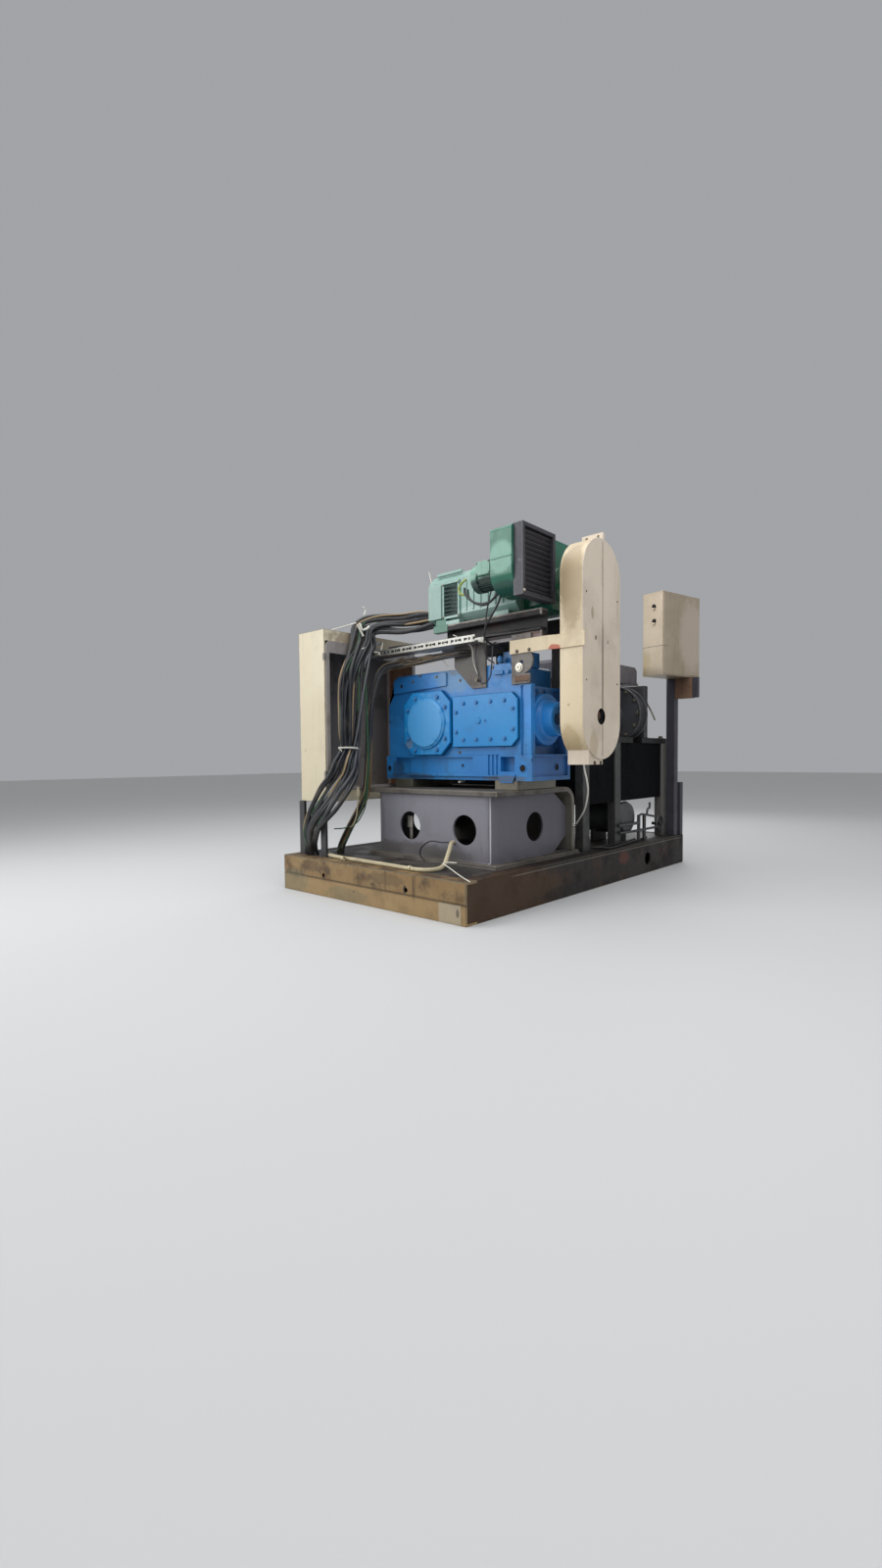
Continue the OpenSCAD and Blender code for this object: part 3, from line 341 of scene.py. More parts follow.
def makePlaced():
    # a mark at one place, oval or boxy, with ragged borders
    tree, given, result = newGroup("placedMark", ["Mask"], Centre=None, Reach=None, Ragged=0.5, Boxy=0.0)

    def vectorNode(operation, a, b):
        node = tree.nodes.new("ShaderNodeVectorMath")
        node.operation = operation
        tree.links.new(a, node.inputs[0])
        if b is not None:
            tree.links.new(b, node.inputs[1])
        return node

    away = vectorNode("SUBTRACT", given["Vector"], given["Centre"]).outputs[0]
    share = vectorNode("DIVIDE", away, given["Reach"]).outputs[0]
    oval = vectorNode("LENGTH", share, None).outputs["Value"]
    across, along, up = partsOf(tree, vectorNode("ABSOLUTE", share, None).outputs[0])
    square = larger(tree, larger(tree, across, along), up)
    square = mathNode(tree, "ADD", product(tree, square, 4.0), -3.05)
    change = mathNode(tree, "SUBTRACT", square, oval)
    far = mathNode(tree, "MULTIPLY_ADD", given["Boxy"], change, oval)
    cloud = mathNode(tree, "SUBTRACT", noiseNode(tree, given["Vector"], 24.0, 5, 0.65), 0.5)
    far = mathNode(tree, "ADD", far, product(tree, cloud, given["Ragged"]))
    mask = lessThanOne(tree, rampNode(tree, far, 0.7, 1.0))
    tree.links.new(mask, result["Mask"])
    return tree


lookGroups = {
    "patches": makePatches(), "runs": makeRuns(), "chips": makeChips(), "edges": makeBoxEdges(),
    "grain": makeGrain(), "settled": makeSettled(), "placed": makePlaced(),
}


def useGroup(tree, name, vector, **values):
    node = tree.nodes.new("ShaderNodeGroup")
    node.node_tree = lookGroups[name]
    tree.links.new(vector, node.inputs["Vector"])
    for label, value in values.items():
        linkOrSet(tree, node.inputs[label.replace("_", " ")], value)
    return node


def blendColour(tree, mask, under, over, amount=1.0):
    node = tree.nodes.new("ShaderNodeMix")
    node.data_type = "RGBA"
    if amount < 1.0:
        mask = product(tree, mask, amount)
    tree.links.new(mask, node.inputs["Factor"])
    linkOrSet(tree, node.inputs[6], under)
    linkOrSet(tree, node.inputs[7], over)
    return node.outputs[2]


# dirt, worn metal and rust where a finish names no colour of its own
plainDirt, plainBare, plainRust = (0.018, 0.015, 0.012, 1), (0.10, 0.085, 0.07, 1), (0.12, 0.035, 0.012, 1)

# what a finish is where it says nothing else; marks are rows of centre and extent in mm, colour, strength
# and raggedness, and one more item makes a mark a box
plainFinish = dict(
    dirt=None, bare=None, gloss=0.42, metal=0.0, shine=0.5, fade=0.6, patchSize=3.0, oil=0.5, oilLow=0.52,
    oilHigh=0.7, runs=0.35, chips=0.35, edge=None, reach=0.012, top=0.35, foot=0.0, footHeights=(0.2, 0.6),
    grain=300.0, waves=0.3, bump=0.12, rust=0.0, marks=())


def dirtMask(tree, coord, finish):
    # oil film, runs and what settles, the strongest of them at each place
    facing = tree.nodes.new("ShaderNodeNewGeometry").outputs["Normal"]
    low, high = finish["footHeights"]
    settled = useGroup(tree, "settled", coord, Facing=facing, Low_Height=low, High_Height=high)
    film = useGroup(tree, "patches", coord, Size=finish["patchSize"] * 2.3, Low=finish["oilLow"],
                    High=finish["oilHigh"])
    film = product(tree, film.outputs["Mask"], finish["oil"])
    runs = product(tree, useGroup(tree, "runs", coord).outputs["Mask"], finish["runs"])
    dirty = larger(tree, larger(tree, film, runs), product(tree, settled.outputs["Top"], finish["top"]))
    if finish["foot"]:
        dirty = larger(tree, dirty, product(tree, settled.outputs["Foot"], finish["foot"]))
    return dirty


def wornMask(tree, coord, finish):
    # chips all over, and rubbed edges where the finish names a node
    worn = useGroup(tree, "chips", coord, Amount=finish["chips"]).outputs["Mask"]
    if finish["edge"]:
        low, high = (tuple(corner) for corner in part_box(finish["edge"]))
        rubbed = useGroup(tree, "edges", coord, Low_Corner=low, High_Corner=high, Reach=finish["reach"])
        worn = larger(tree, worn, rubbed.outputs["Mask"])
    return worn


def addMarks(tree, coord, colour, marks):
    for centre, extent, tone, strength, ragged, *boxy in marks:
        mark = useGroup(tree, "placed", coord, Centre=tuple(spot(*centre)), Ragged=ragged,
                        Reach=tuple(v / 1000 for v in extent), Boxy=1.0 if boxy else 0.0)
        colour = blendColour(tree, mark.outputs["Mask"], colour, shade(*tone), strength)
    return colour


def addBump(tree, bsdf, coord, finish, worn):
    height = useGroup(tree, "grain", coord, Size=finish["grain"], Waves=finish["waves"]).outputs["Height"]
    bump = tree.nodes.new("ShaderNodeBump")
    bump.inputs["Strength"].default_value = finish["bump"]
    bump.inputs["Distance"].default_value = 0.004
    tree.links.new(mathNode(tree, "SUBTRACT", height, product(tree, worn, 0.25)), bump.inputs["Height"])
    tree.links.new(bump.outputs["Normal"], bsdf.inputs["Normal"])


def paint(name, finish):
    finish = {**plainFinish, **finish}
    tint, faded = shade(*finish["tint"]), shade(*finish["faded"])
    darker = tuple(v * 0.86 for v in tint[:3]) + (1,)
    dirt = shade(*finish["dirt"]) if finish["dirt"] else plainDirt
    bare = shade(*finish["bare"]) if finish["bare"] else plainBare
    mat = bpy.data.materials.new(name)
    mat.use_nodes = True
    tree = mat.node_tree
    bsdf = tree.nodes["Principled BSDF"]
    coord = tree.nodes.new("ShaderNodeTexCoord").outputs["Object"]

    def patchMask(size, low, high):
        return useGroup(tree, "patches", coord, Size=size, Low=low, High=high).outputs["Mask"]

    dirty, worn = dirtMask(tree, coord, finish), wornMask(tree, coord, finish)
    speck = patchMask(60.0, 0.35, 0.75)
    colour = blendColour(tree, patchMask(finish["patchSize"], 0.38, 0.68), tint, faded, finish["fade"])
    colour = blendColour(tree, speck, colour, darker, 0.35)
    colour = blendColour(tree, dirty, colour, dirt)
    colour = blendColour(tree, worn, colour, bare, 0.85)
    if finish["rust"]:
        colour = blendColour(tree, patchMask(11.0, 0.56, 0.66), colour, plainRust, finish["rust"])
    tree.links.new(addMarks(tree, coord, colour, finish["marks"]), bsdf.inputs["Base Color"])
    bsdf.inputs["Specular IOR Level"].default_value = finish["shine"]
    rough = mathNode(tree, "ADD", finish["gloss"], product(tree, dirty, 0.25))
    rough = mathNode(tree, "ADD", rough, product(tree, speck, 0.08), clamp=True)
    tree.links.new(rough, bsdf.inputs["Roughness"])
    clean = lessThanOne(tree, dirty)
    metal = product(tree, clean, finish["metal"]) if finish["metal"] else product(tree, worn, 0.6)
    tree.links.new(metal, bsdf.inputs["Metallic"])
    addBump(tree, bsdf, coord, finish, worn)
    return mat


# what each finish looks like, with colours as 0 to 255
finishes = {
    "skidFront": dict(
        tint=(134, 106, 66), faded=(148, 126, 86), dirt=(58, 44, 30), bare=(126, 118, 100), fade=0.9,
        patchSize=3.4, oil=0.8, oilLow=0.46, runs=0.7, chips=0.4, edge="skid_front_beam", reach=0.01,
        top=0.9, rust=0.3, bump=0.2, marks=[
            ((770, 0, 0), (2400, 300, 118), (160, 134, 92), 0.6, 0.12),
            ((770, 0, 104), (2400, 300, 5), (44, 36, 26), 0.6, 0.5),
            ((1432, 0, 48), (76, 60, 54), (170, 162, 142), 0.6, 0.5, "box"),
            ((100, 0, 60), (180, 60, 90), (112, 108, 84), 0.5, 1.0),
            ((620, 0, 40), (220, 60, 50), (108, 104, 80), 0.45, 1.2),
            ((300, 0, 175), (120, 60, 40), (84, 66, 44), 0.5, 1.2),
            ((960, 0, 172), (160, 60, 40), (86, 68, 44), 0.5, 1.2),
            ((408, 0, 126), (16, 40, 20), (30, 24, 20), 0.9, 0.5),
            ((1113, 0, 132), (15, 40, 26), (30, 24, 20), 0.9, 0.6),
            ((858, 0, 132), (9, 30, 10), (50, 38, 26), 0.7, 0.5),
            ((690, 0, 66), (7, 30, 8), (40, 32, 24), 0.8, 0.5),
            ((1486, 0, 60), (12, 30, 26), (70, 62, 50), 0.7, 0.6)]),
    # the side and rear beams are darker than the front beam: partly oil, partly painted shade on the faces
    # turned from the light
    "skidSide": dict(
        tint=(36, 32, 30), faded=(48, 42, 38), dirt=(20, 17, 15), bare=(84, 76, 66), gloss=0.5, shine=0.3,
        fade=0.8, oil=0.7, oilLow=0.44, runs=0.6, edge="skid_side_beams", reach=0.009, top=0.6, rust=0.2,
        bump=0.2, marks=[
            ((1540, 300, 90), (200, 700, 170), (70, 50, 33), 0.75, 0.8),
            ((1540, 1655, 148), (60, 80, 50), (92, 48, 34), 0.6, 0.9),
            ((1540, 980, 40), (60, 420, 46), (34, 30, 29), 0.6, 0.8),
            ((1540, 1500, 199), (12, 1130, 3), (128, 122, 112), 0.5, 0.5, "box")]),
    "deck": dict(
        tint=(58, 55, 51), faded=(80, 76, 70), dirt=(24, 21, 18), gloss=0.35, fade=0.7, oil=0.9, oilLow=0.4,
        oilHigh=0.6, chips=0.4, top=0.3, rust=0.2, bump=0.25),
    "pedestal": dict(
        tint=(122, 121, 130), faded=(134, 132, 141), dirt=(58, 55, 54), bare=(146, 144, 146), fade=0.4,
        patchSize=1.6, oil=0.16, chips=0.1, foot=0.7, footHeights=(0.22, 0.36), top=0.7, bump=0.08,
        waves=0.8, marks=[
            # painted shade: this mark darkens the pedestal's right side face
            ((1380, 800, 420), (50, 700, 420), (82, 81, 90), 0.75, 0.15),
            # painted highlight: a bright vertical line on the front right corner
            ((1357, 420, 420), (6, 20, 420), (206, 204, 208), 0.75, 0.1),
            ((430, 420, 420), (90, 60, 260), (96, 95, 102), 0.6, 0.3),
            ((760, 420, 250), (520, 60, 80), (70, 66, 58), 0.6, 1.0)]),
    "pedestalPlate": dict(
        tint=(92, 88, 84), faded=(108, 102, 92), dirt=(44, 38, 32), bare=(128, 120, 104), oil=0.7,
        oilLow=0.45, runs=0.5, chips=0.3, edge="pedestal_top", reach=0.008, top=0.8, bump=0.15,
        marks=[((1410, 1195, 430), (60, 60, 230), (118, 114, 102), 0.6, 0.4)]),
    "bareSteel": dict(
        tint=(140, 136, 124), faded=(120, 112, 98), dirt=(52, 46, 38), gloss=0.35, metal=0.8, oil=0.6,
        top=0.5),
    "gearBlue": dict(
        tint=(36, 116, 184), faded=(60, 140, 200), dirt=(26, 48, 72), bare=(30, 44, 60), gloss=0.3,
        fade=0.45, patchSize=2.2, oil=0.4, oilHigh=0.75, runs=0.4, chips=0.18, top=0.55, grain=240,
        waves=0.5, bump=0.2, marks=[
            ((500, 590, 1250), (260, 60, 200), (20, 84, 140), 0.55, 0.9),
            ((980, 590, 1330), (200, 60, 110), (92, 130, 158), 0.55, 1.0),
            ((1010, 590, 1390), (150, 40, 60), (70, 74, 76), 0.6, 1.1),
            ((560, 600, 715), (260, 60, 30), (58, 66, 70), 0.6, 1.0),
            ((1330, 600, 712), (190, 60, 22), (86, 84, 74), 0.6, 1.0),
            ((440, 600, 770), (46, 60, 70), (46, 62, 76), 0.6, 0.9),
            ((1482, 860, 900), (40, 250, 340), (64, 80, 116), 0.55, 0.25, "box"),
            # painted light: the input housing, which lies in shade, is made a brighter blue
            ((1530, 800, 1052), (130, 240, 240), (44, 142, 226), 0.7, 0.3),
            # painted light: a lighter patch low on the right side face
            ((1516, 800, 780), (30, 260, 90), (52, 104, 170), 0.6, 0.4)]),
    "gearCover": dict(
        tint=(8, 122, 188), faded=(34, 140, 200), dirt=(28, 54, 82), bare=(34, 50, 68), gloss=0.3, fade=0.35,
        patchSize=2.4, oil=0.2, oilLow=0.55, runs=0.25, chips=0.08, top=0.5, grain=240, bump=0.1, marks=[
            ((743, 546, 1048), (210, 60, 210), (92, 160, 208), 0.45, 1.3),
            ((590, 566, 930), (40, 40, 40), (120, 110, 96), 0.5, 1.0)]),
    "shaftSteel": dict(
        tint=(150, 150, 148), faded=(128, 124, 118), gloss=0.25, metal=0.95, oil=0.3, chips=0.0, bump=0.05),
    "guardCream": dict(
        tint=(216, 200, 170), faded=(196, 178, 144), dirt=(118, 98, 68), bare=(130, 114, 90), gloss=0.36,
        fade=0.7, patchSize=1.6, oil=0.3, oilLow=0.5, oilHigh=0.75, runs=0.45, chips=0.15, bump=0.08,
        waves=0.8, marks=[
            ((1770, 604, 1760), (80, 120, 300), (150, 128, 94), 0.65, 0.5),
            ((1750, 620, 900), (70, 120, 120), (172, 146, 102), 0.5, 0.8),
            ((1676, 580, 1420), (42, 90, 24), (176, 82, 62), 0.85, 0.7),
            ((1752, 650, 1110), (12, 60, 14), (120, 96, 66), 0.7, 0.8)]),
    "guardCover": dict(
        tint=(214, 201, 184), faded=(194, 180, 162), dirt=(112, 98, 82), bare=(118, 106, 94), gloss=0.36,
        fade=0.7, patchSize=1.5, oil=0.3, oilLow=0.5, oilHigh=0.75, runs=0.4, chips=0.18, bump=0.08,
        waves=0.9, marks=[
            ((1840, 702, 1599), (30, 16, 40), (140, 120, 92), 0.6, 0.9),
            ((1840, 738, 1471), (30, 12, 14), (96, 84, 70), 0.8, 0.6),
            ((1840, 869, 1461), (30, 10, 12), (110, 98, 84), 0.7, 0.6),
            ((1840, 812, 1300), (30, 14, 320), (120, 108, 94), 0.5, 0.6),
            ((1840, 720, 900), (30, 50, 90), (166, 146, 116), 0.5, 0.8)]),
    "pulleyIron": dict(tint=(86, 86, 86), faded=(70, 68, 66), metal=0.7, gloss=0.4, bump=0.1),
    "beltRubber": dict(tint=(26, 26, 27), faded=(38, 37, 36), gloss=0.7, chips=0.0, bump=0.1),
    "bracketGrey": dict(
        tint=(102, 98, 94), faded=(118, 112, 106), dirt=(44, 38, 33), gloss=0.45, fade=0.7, oil=0.6,
        oilLow=0.48, runs=0.5, rust=0.3, bump=0.2,
        marks=[((1100, 588, 1400), (170, 200, 190), (70, 66, 62), 0.7, 0.6)]),
    # painted shade: the channel's tint is darkened below its brown to stand for the shade on the recessed web
    "railBrown": dict(
        tint=(44, 42, 44), faded=(60, 56, 56), dirt=(24, 22, 22), bare=(150, 144, 138), gloss=0.5, shine=0.3,
        fade=0.7, oil=0.6, oilLow=0.45, runs=0.4, chips=0.3, edge="platform_channels", reach=0.016, rust=0.2,
        bump=0.2, marks=[
            ((1216, 600, 1500), (470, 12, 12), (150, 148, 150), 0.7, 0.5, "box"),
            ((1500, 600, 1511), (110, 30, 22), (120, 96, 88), 0.7, 0.8)]),
    "motorMint": dict(
        tint=(126, 160, 150), faded=(142, 174, 164), dirt=(56, 76, 70), bare=(70, 96, 86), gloss=0.34,
        fade=0.4, oil=0.2, runs=0.25, chips=0.08, top=0.3, grain=260, waves=0.4, bump=0.1, marks=[
            ((783, 611, 1803), (90, 20, 150), (128, 152, 146), 0.5, 0.2),
            ((1100, 620, 1690), (300, 60, 60), (166, 190, 184), 0.5, 0.4),
            # painted shade: a dark box behind the vent louvres
            ((920, 612, 1800), (57, 7, 96), (30, 38, 42), 0.92, 0.05, "box")]),
    "motorGreen": dict(
        tint=(40, 104, 84), faded=(58, 124, 102), dirt=(20, 44, 36), bare=(70, 92, 82), gloss=0.26,
        fade=0.45, oil=0.25, runs=0.25, chips=0.08, top=0.4, bump=0.1, marks=[
            # painted highlight: a bright patch in the middle of the scroll's front
            ((1490, 361, 1890), (90, 60, 100), (118, 168, 150), 0.6, 0.3),
            # painted shade: the underside of the scroll made darker
            ((1490, 420, 1720), (160, 160, 60), (30, 62, 58), 0.6, 0.4)]),
    # blowerMint's one mark is painted shade on the lower half of the blower motor
    "blowerMint": dict(
        tint=(104, 150, 132), faded=(122, 166, 150), dirt=(40, 60, 52), gloss=0.32, fade=0.5, oil=0.3,
        chips=0.08, marks=[((1325, 450, 1775), (160, 140, 66), (36, 46, 46), 0.85, 0.25)]),
    "slate": dict(
        tint=(52, 52, 60), faded=(70, 70, 78), dirt=(28, 28, 31), bare=(96, 96, 98), fade=0.5, oil=0.3,
        chips=0.2, edge="intake_filter", reach=0.007, top=0.4, bump=0.1),
    "cabinetCream": dict(
        tint=(208, 198, 174), faded=(196, 184, 156), dirt=(128, 116, 90), bare=(130, 122, 106), gloss=0.36,
        patchSize=1.4, oil=0.15, oilLow=0.55, runs=0.25, chips=0.12, edge="cabinet_shell", reach=0.005,
        bump=0.06, waves=0.8, marks=[((320, 560, 1600), (24, 520, 60), (134, 120, 104), 0.75, 0.9)]),
    "liningRust": dict(
        tint=(158, 110, 80), faded=(172, 138, 108), dirt=(66, 48, 38), gloss=0.6, fade=0.9, patchSize=2.6,
        oil=0.4, runs=0.5, chips=0.1, rust=0.4, bump=0.1),
    # painted light: the back lining is made far paler than its grey-brown, standing in for light inside the
    # shaded cabinet
    "liningGrey": dict(
        tint=(218, 204, 190), faded=(196, 180, 164), dirt=(120, 106, 92), gloss=0.6, fade=0.7, patchSize=2.2,
        oil=0.3, runs=0.4, chips=0.05, bump=0.08),
    "cabinetInner": dict(
        tint=(136, 131, 130), faded=(150, 143, 138), dirt=(62, 56, 52), gloss=0.5, oil=0.4, runs=0.4,
        chips=0.2),
    "legDark": dict(
        tint=(58, 58, 60), faded=(76, 74, 72), dirt=(24, 22, 20), gloss=0.45, oil=0.6, chips=0.3),
    "trayZinc": dict(
        tint=(158, 158, 152), faded=(132, 128, 120), dirt=(66, 60, 50), gloss=0.35, metal=0.75, chips=0.0,
        bump=0.1),
    "columnDark": dict(
        tint=(58, 58, 58), faded=(76, 75, 74), dirt=(24, 23, 22), gloss=0.4, oil=0.7, oilLow=0.45, runs=0.6,
        chips=0.3, bump=0.15, marks=[((1440, 2500, 600), (120, 130, 560), (106, 104, 100), 0.85, 0.3)]),
    "panelBlack": dict(
        tint=(8, 9, 12), faded=(13, 14, 18), dirt=(7, 7, 8), gloss=0.8, shine=0.1, chips=0.02, bump=0.08),
    "tableOily": dict(
        tint=(34, 34, 36), faded=(48, 47, 47), dirt=(16, 15, 14), gloss=0.4, metal=0.4, oil=0.7, oilLow=0.42,
        chips=0.3, bump=0.18),
    "housingIron": dict(
        tint=(60, 60, 62), faded=(78, 76, 74), dirt=(22, 20, 19), oil=0.7, oilLow=0.44, runs=0.6, chips=0.25,
        grain=200, waves=0.6, bump=0.3),
    "chockIron": dict(tint=(84, 84, 84), faded=(68, 66, 64), dirt=(28, 26, 24), gloss=0.35, metal=0.6),
    "rollSteel": dict(
        tint=(120, 120, 124), faded=(96, 94, 92), gloss=0.22, metal=0.9, oil=0.45, chips=0.0, bump=0.05),
    "spindleSteel": dict(
        tint=(92, 92, 94), faded=(74, 70, 66), gloss=0.32, metal=0.8, oil=0.6, chips=0.1, bump=0.1),
    "hoodGrey": dict(
        tint=(86, 84, 92), faded=(100, 98, 104), dirt=(40, 38, 40), gloss=0.4, runs=0.4, chips=0.25,
        edge="roll_hood", reach=0.008, bump=0.1),
    "drumIron": dict(
        tint=(52, 52, 55), faded=(70, 70, 72), dirt=(20, 19, 19), gloss=0.38, oil=0.6, oilLow=0.46,
        chips=0.25, grain=220, bump=0.2),
    "pumpGrey": dict(
        tint=(62, 64, 66), faded=(76, 78, 80), dirt=(26, 25, 24), gloss=0.4, oil=0.7, oilLow=0.45,
        chips=0.15, bump=0.15),
    "postBlue": dict(
        tint=(54, 54, 62), faded=(66, 66, 74), dirt=(24, 23, 23), bare=(92, 88, 82), oil=0.4, runs=0.3,
        chips=0.3, rust=0.15, bump=0.1),
    "stainless": dict(
        tint=(184, 170, 150), faded=(166, 152, 130), dirt=(112, 98, 76), gloss=0.3, metal=0.4, fade=0.8,
        patchSize=2.4, oil=0.2, oilLow=0.5, runs=0.5, chips=0.02, grain=700, bump=0.02, marks=[
            ((1490, 2180, 1633), (220, 90, 2.5), (60, 54, 46), 0.8, 0.2),
            # painted light: a lighter patch on the box's right face
            ((1669, 2420, 1724), (60, 280, 360), (204, 190, 176), 0.6, 0.4),
            ((1430, 2260, 1520), (120, 90, 140), (170, 152, 112), 0.5, 0.9)]),
    "boltSteel": dict(tint=(110, 104, 94), faded=(86, 78, 68), gloss=0.38, metal=0.75, chips=0.0, bump=0.1),
    "boltBlue": dict(
        tint=(40, 108, 168), faded=(70, 130, 180), dirt=(24, 40, 58), gloss=0.35, chips=0.3, bump=0.08),
    # for the dark line round the gear covers: a joint, and painted shade along it
    "jointAndShadeDark": dict(
        tint=(14, 40, 68), faded=(20, 50, 80), dirt=(10, 20, 30), gloss=0.6, shine=0.2, chips=0.0, bump=0.05),
    # black for knobs and the guard seam, and painted shade for holes and slots
    "blackAndHoleShade": dict(tint=(9, 9, 11), faded=(14, 14, 15), gloss=0.8, oil=0.2, chips=0.0, bump=0.05),
    "rustPlate": dict(
        tint=(92, 66, 50), faded=(122, 96, 76), dirt=(46, 32, 25), gloss=0.6, fade=0.9, chips=0.2, rust=0.5,
        bump=0.25),
    "earthYellow": dict(tint=(150, 160, 60), faded=(120, 140, 50), gloss=0.4, oil=0.3, chips=0.0, bump=0.05),
    "tanRubber": dict(tint=(132, 112, 86), faded=(104, 86, 64), gloss=0.5, oil=0.4, chips=0.0, bump=0.05),
    "paleRubber": dict(
        tint=(112, 116, 122), faded=(94, 96, 100), dirt=(50, 46, 42), gloss=0.4, oil=0.3, chips=0.0,
        bump=0.05),
    "wireGreen": dict(tint=(52, 88, 62), faded=(70, 104, 78), gloss=0.4, oil=0.2, chips=0.0, bump=0.05),
    "brightZinc": dict(
        tint=(206, 202, 190), faded=(176, 170, 156), dirt=(96, 88, 74), gloss=0.3, metal=0.6, oil=0.3,
        chips=0.0, bump=0.06),
    "blackRubber": dict(
        tint=(22, 22, 24), faded=(36, 36, 38), dirt=(60, 54, 46), gloss=0.45, oil=0.25, chips=0.0, bump=0.05),
    "cablePlain": dict(
        tint=(40, 40, 43), faded=(58, 57, 58), dirt=(70, 60, 46), gloss=0.45, oil=0.3, chips=0.0, bump=0.05),
    "creamPlastic": dict(
        tint=(196, 186, 156), faded=(176, 164, 132), dirt=(110, 98, 76), gloss=0.4, oil=0.4, chips=0.0,
        bump=0.05),
    "whitePlastic": dict(
        tint=(222, 220, 210), faded=(205, 200, 188), dirt=(150, 142, 124), gloss=0.35, oil=0.3, chips=0.0,
        bump=0.03),
}
looks = {name: paint(name, finish) for name, finish in finishes.items()}


# colours along the attribute that each cable carries
cableTones = [
    (0.0, (30, 31, 35)), (0.22, (52, 53, 58)), (0.45, (92, 94, 98)), (0.6, (150, 128, 96)),
    (0.74, (112, 90, 64)), (0.84, (176, 156, 92)), (0.9, (150, 152, 152)), (0.96, (46, 84, 56)),
]


def makeCableMix(steps):
    mat = bpy.data.materials.new("cableMix")
    mat.use_nodes = True
    tree = mat.node_tree
    bsdf = tree.nodes["Principled BSDF"]
    coord = tree.nodes.new("ShaderNodeTexCoord").outputs["Object"]
    tone = tree.nodes.new("ShaderNodeAttribute")
    tone.attribute_name = "cableTone"
    ramp = tree.nodes.new("ShaderNodeValToRGB")
    ramp.color_ramp.interpolation = "CONSTANT"
    band = ramp.color_ramp.elements
    band.remove(band[1])
    band[0].color = shade(*steps[0][1])
    for place, colour in steps[1:]:
        band.new(place).color = shade(*colour)
    tree.links.new(tone.outputs["Fac"], ramp.inputs["Fac"])
    dust = useGroup(tree, "patches", coord, Size=7.0, Low=0.48, High=0.72).outputs["Mask"]
    colour = blendColour(tree, dust, ramp.outputs["Color"], shade(96, 90, 80), 0.35)
    tree.links.new(colour, bsdf.inputs["Base Color"])
    tree.links.new(mathNode(tree, "ADD", 0.32, product(tree, dust, 0.3)), bsdf.inputs["Roughness"])
    return mat


looks["cableMix"] = makeCableMix(cableTones)
print("materials made:", len(looks))


# mesh helpers

def addBox(bm, low, high):
    (x0, y0, z0), (x1, y1, z1) = low, high
    v = [bm.verts.new(p) for p in [(x0, y0, z0), (x1, y0, z0), (x1, y1, z0), (x0, y1, z0),
                                   (x0, y0, z1), (x1, y0, z1), (x1, y1, z1), (x0, y1, z1)]]
    for f in [(3, 2, 1, 0), (4, 5, 6, 7), (0, 1, 5, 4), (1, 2, 6, 5), (2, 3, 7, 6), (3, 0, 4, 7)]:
        bm.faces.new([v[i] for i in f])


def frameAlong(axis):
    axis = Vector(axis).normalized()
    side = Vector((0, 0, 1)) if abs(axis.z) < 0.9 else Vector((1, 0, 0))
    u = side.cross(axis).normalized()
    return u, axis.cross(u)


def addCircle(bm, middle, u, v, radius, sides):
    angles = (2 * math.pi * k / sides for k in range(sides))
    return [bm.verts.new(middle + radius * (u * math.cos(a) + v * math.sin(a))) for a in angles]


def joinRings(bm, one, two):
    for k in range(len(one)):
        m = (k + 1) % len(one)
        bm.faces.new([one[k], one[m], two[m], two[k]])


def addTurned(bm, start, axis, profile, sides=32):
    # a closed turned shape: profile rows are distance along the axis and radius, which only ends in a point
    start, axis = Vector(start), Vector(axis).normalized()
    u, v = frameAlong(axis)
    rings = []
    for along, radius in profile:
        middle = start + axis * along
        rings.append(addCircle(bm, middle, u, v, radius, sides) if radius > 0 else [bm.verts.new(middle)])
    for one, two in zip(rings, rings[1:]):
        if len(two) > 1:
            joinRings(bm, one, two)
        else:
            for k in range(sides):
                bm.faces.new([one[k], one[(k + 1) % sides], two[0]])
    bm.faces.new(rings[0][::-1])
    if len(rings[-1]) > 1:
        bm.faces.new(rings[-1])


def addPrism(bm, outline, shift):
    # a flat outline given depth by a shift
    one = [bm.verts.new(Vector(p)) for p in outline]
    two = [bm.verts.new(Vector(p) + Vector(shift)) for p in outline]
    bm.faces.new(one[::-1])
    bm.faces.new(two)
    for i in range(len(one)):
        j = (i + 1) % len(one)
        bm.faces.new([one[i], one[j], two[j], two[i]])


def addRing(bm, start, axis, inner, outer, height, sides=28):
    # a flat ring with its outer rim eased
    start, axis = Vector(start), Vector(axis).normalized()
    u, v = frameAlong(axis)
    profile = ((0, outer), (height * 0.8, outer), (height, outer * 0.96), (height, inner), (0, inner))
    loops = [addCircle(bm, start + axis * along, u, v, radius, sides) for along, radius in profile]
    for one, two in zip(loops, loops[1:] + loops[:1]):
        joinRings(bm, one, two)


def addTube(bm, points, radius, sides=8):
    points = [Vector(p) for p in points]
    last = len(points) - 1
    u = None
    rings = []
    for i, p in enumerate(points):
        t = (points[min(i + 1, last)] - points[max(i - 1, 0)]).normalized()
        if u is None:
            u = frameAlong(t)[0]
        u = (u - t * u.dot(t)).normalized()
        rings.append(addCircle(bm, p, u, t.cross(u), radius, sides))
    for one, two in zip(rings, rings[1:]):
        joinRings(bm, one, two)
    bm.faces.new(rings[0][::-1])
    bm.faces.new(rings[-1])


def smoothPath(points, steps=6):
    # a smooth line through the points
    points = [Vector(p) for p in points]
    out = []
    for i in range(len(points) - 1):
        a, b, c, d = points[max(i - 1, 0)], points[i], points[i + 1], points[min(i + 2, len(points) - 1)]
        for s in range(steps):
            t = s / steps
            out.append(0.5 * (2 * b + (c - a) * t + (2 * a - 5 * b + 4 * c - d) * t * t
                              + (3 * b - a - 3 * c + d) * t * t * t))
    return out + [points[-1]]


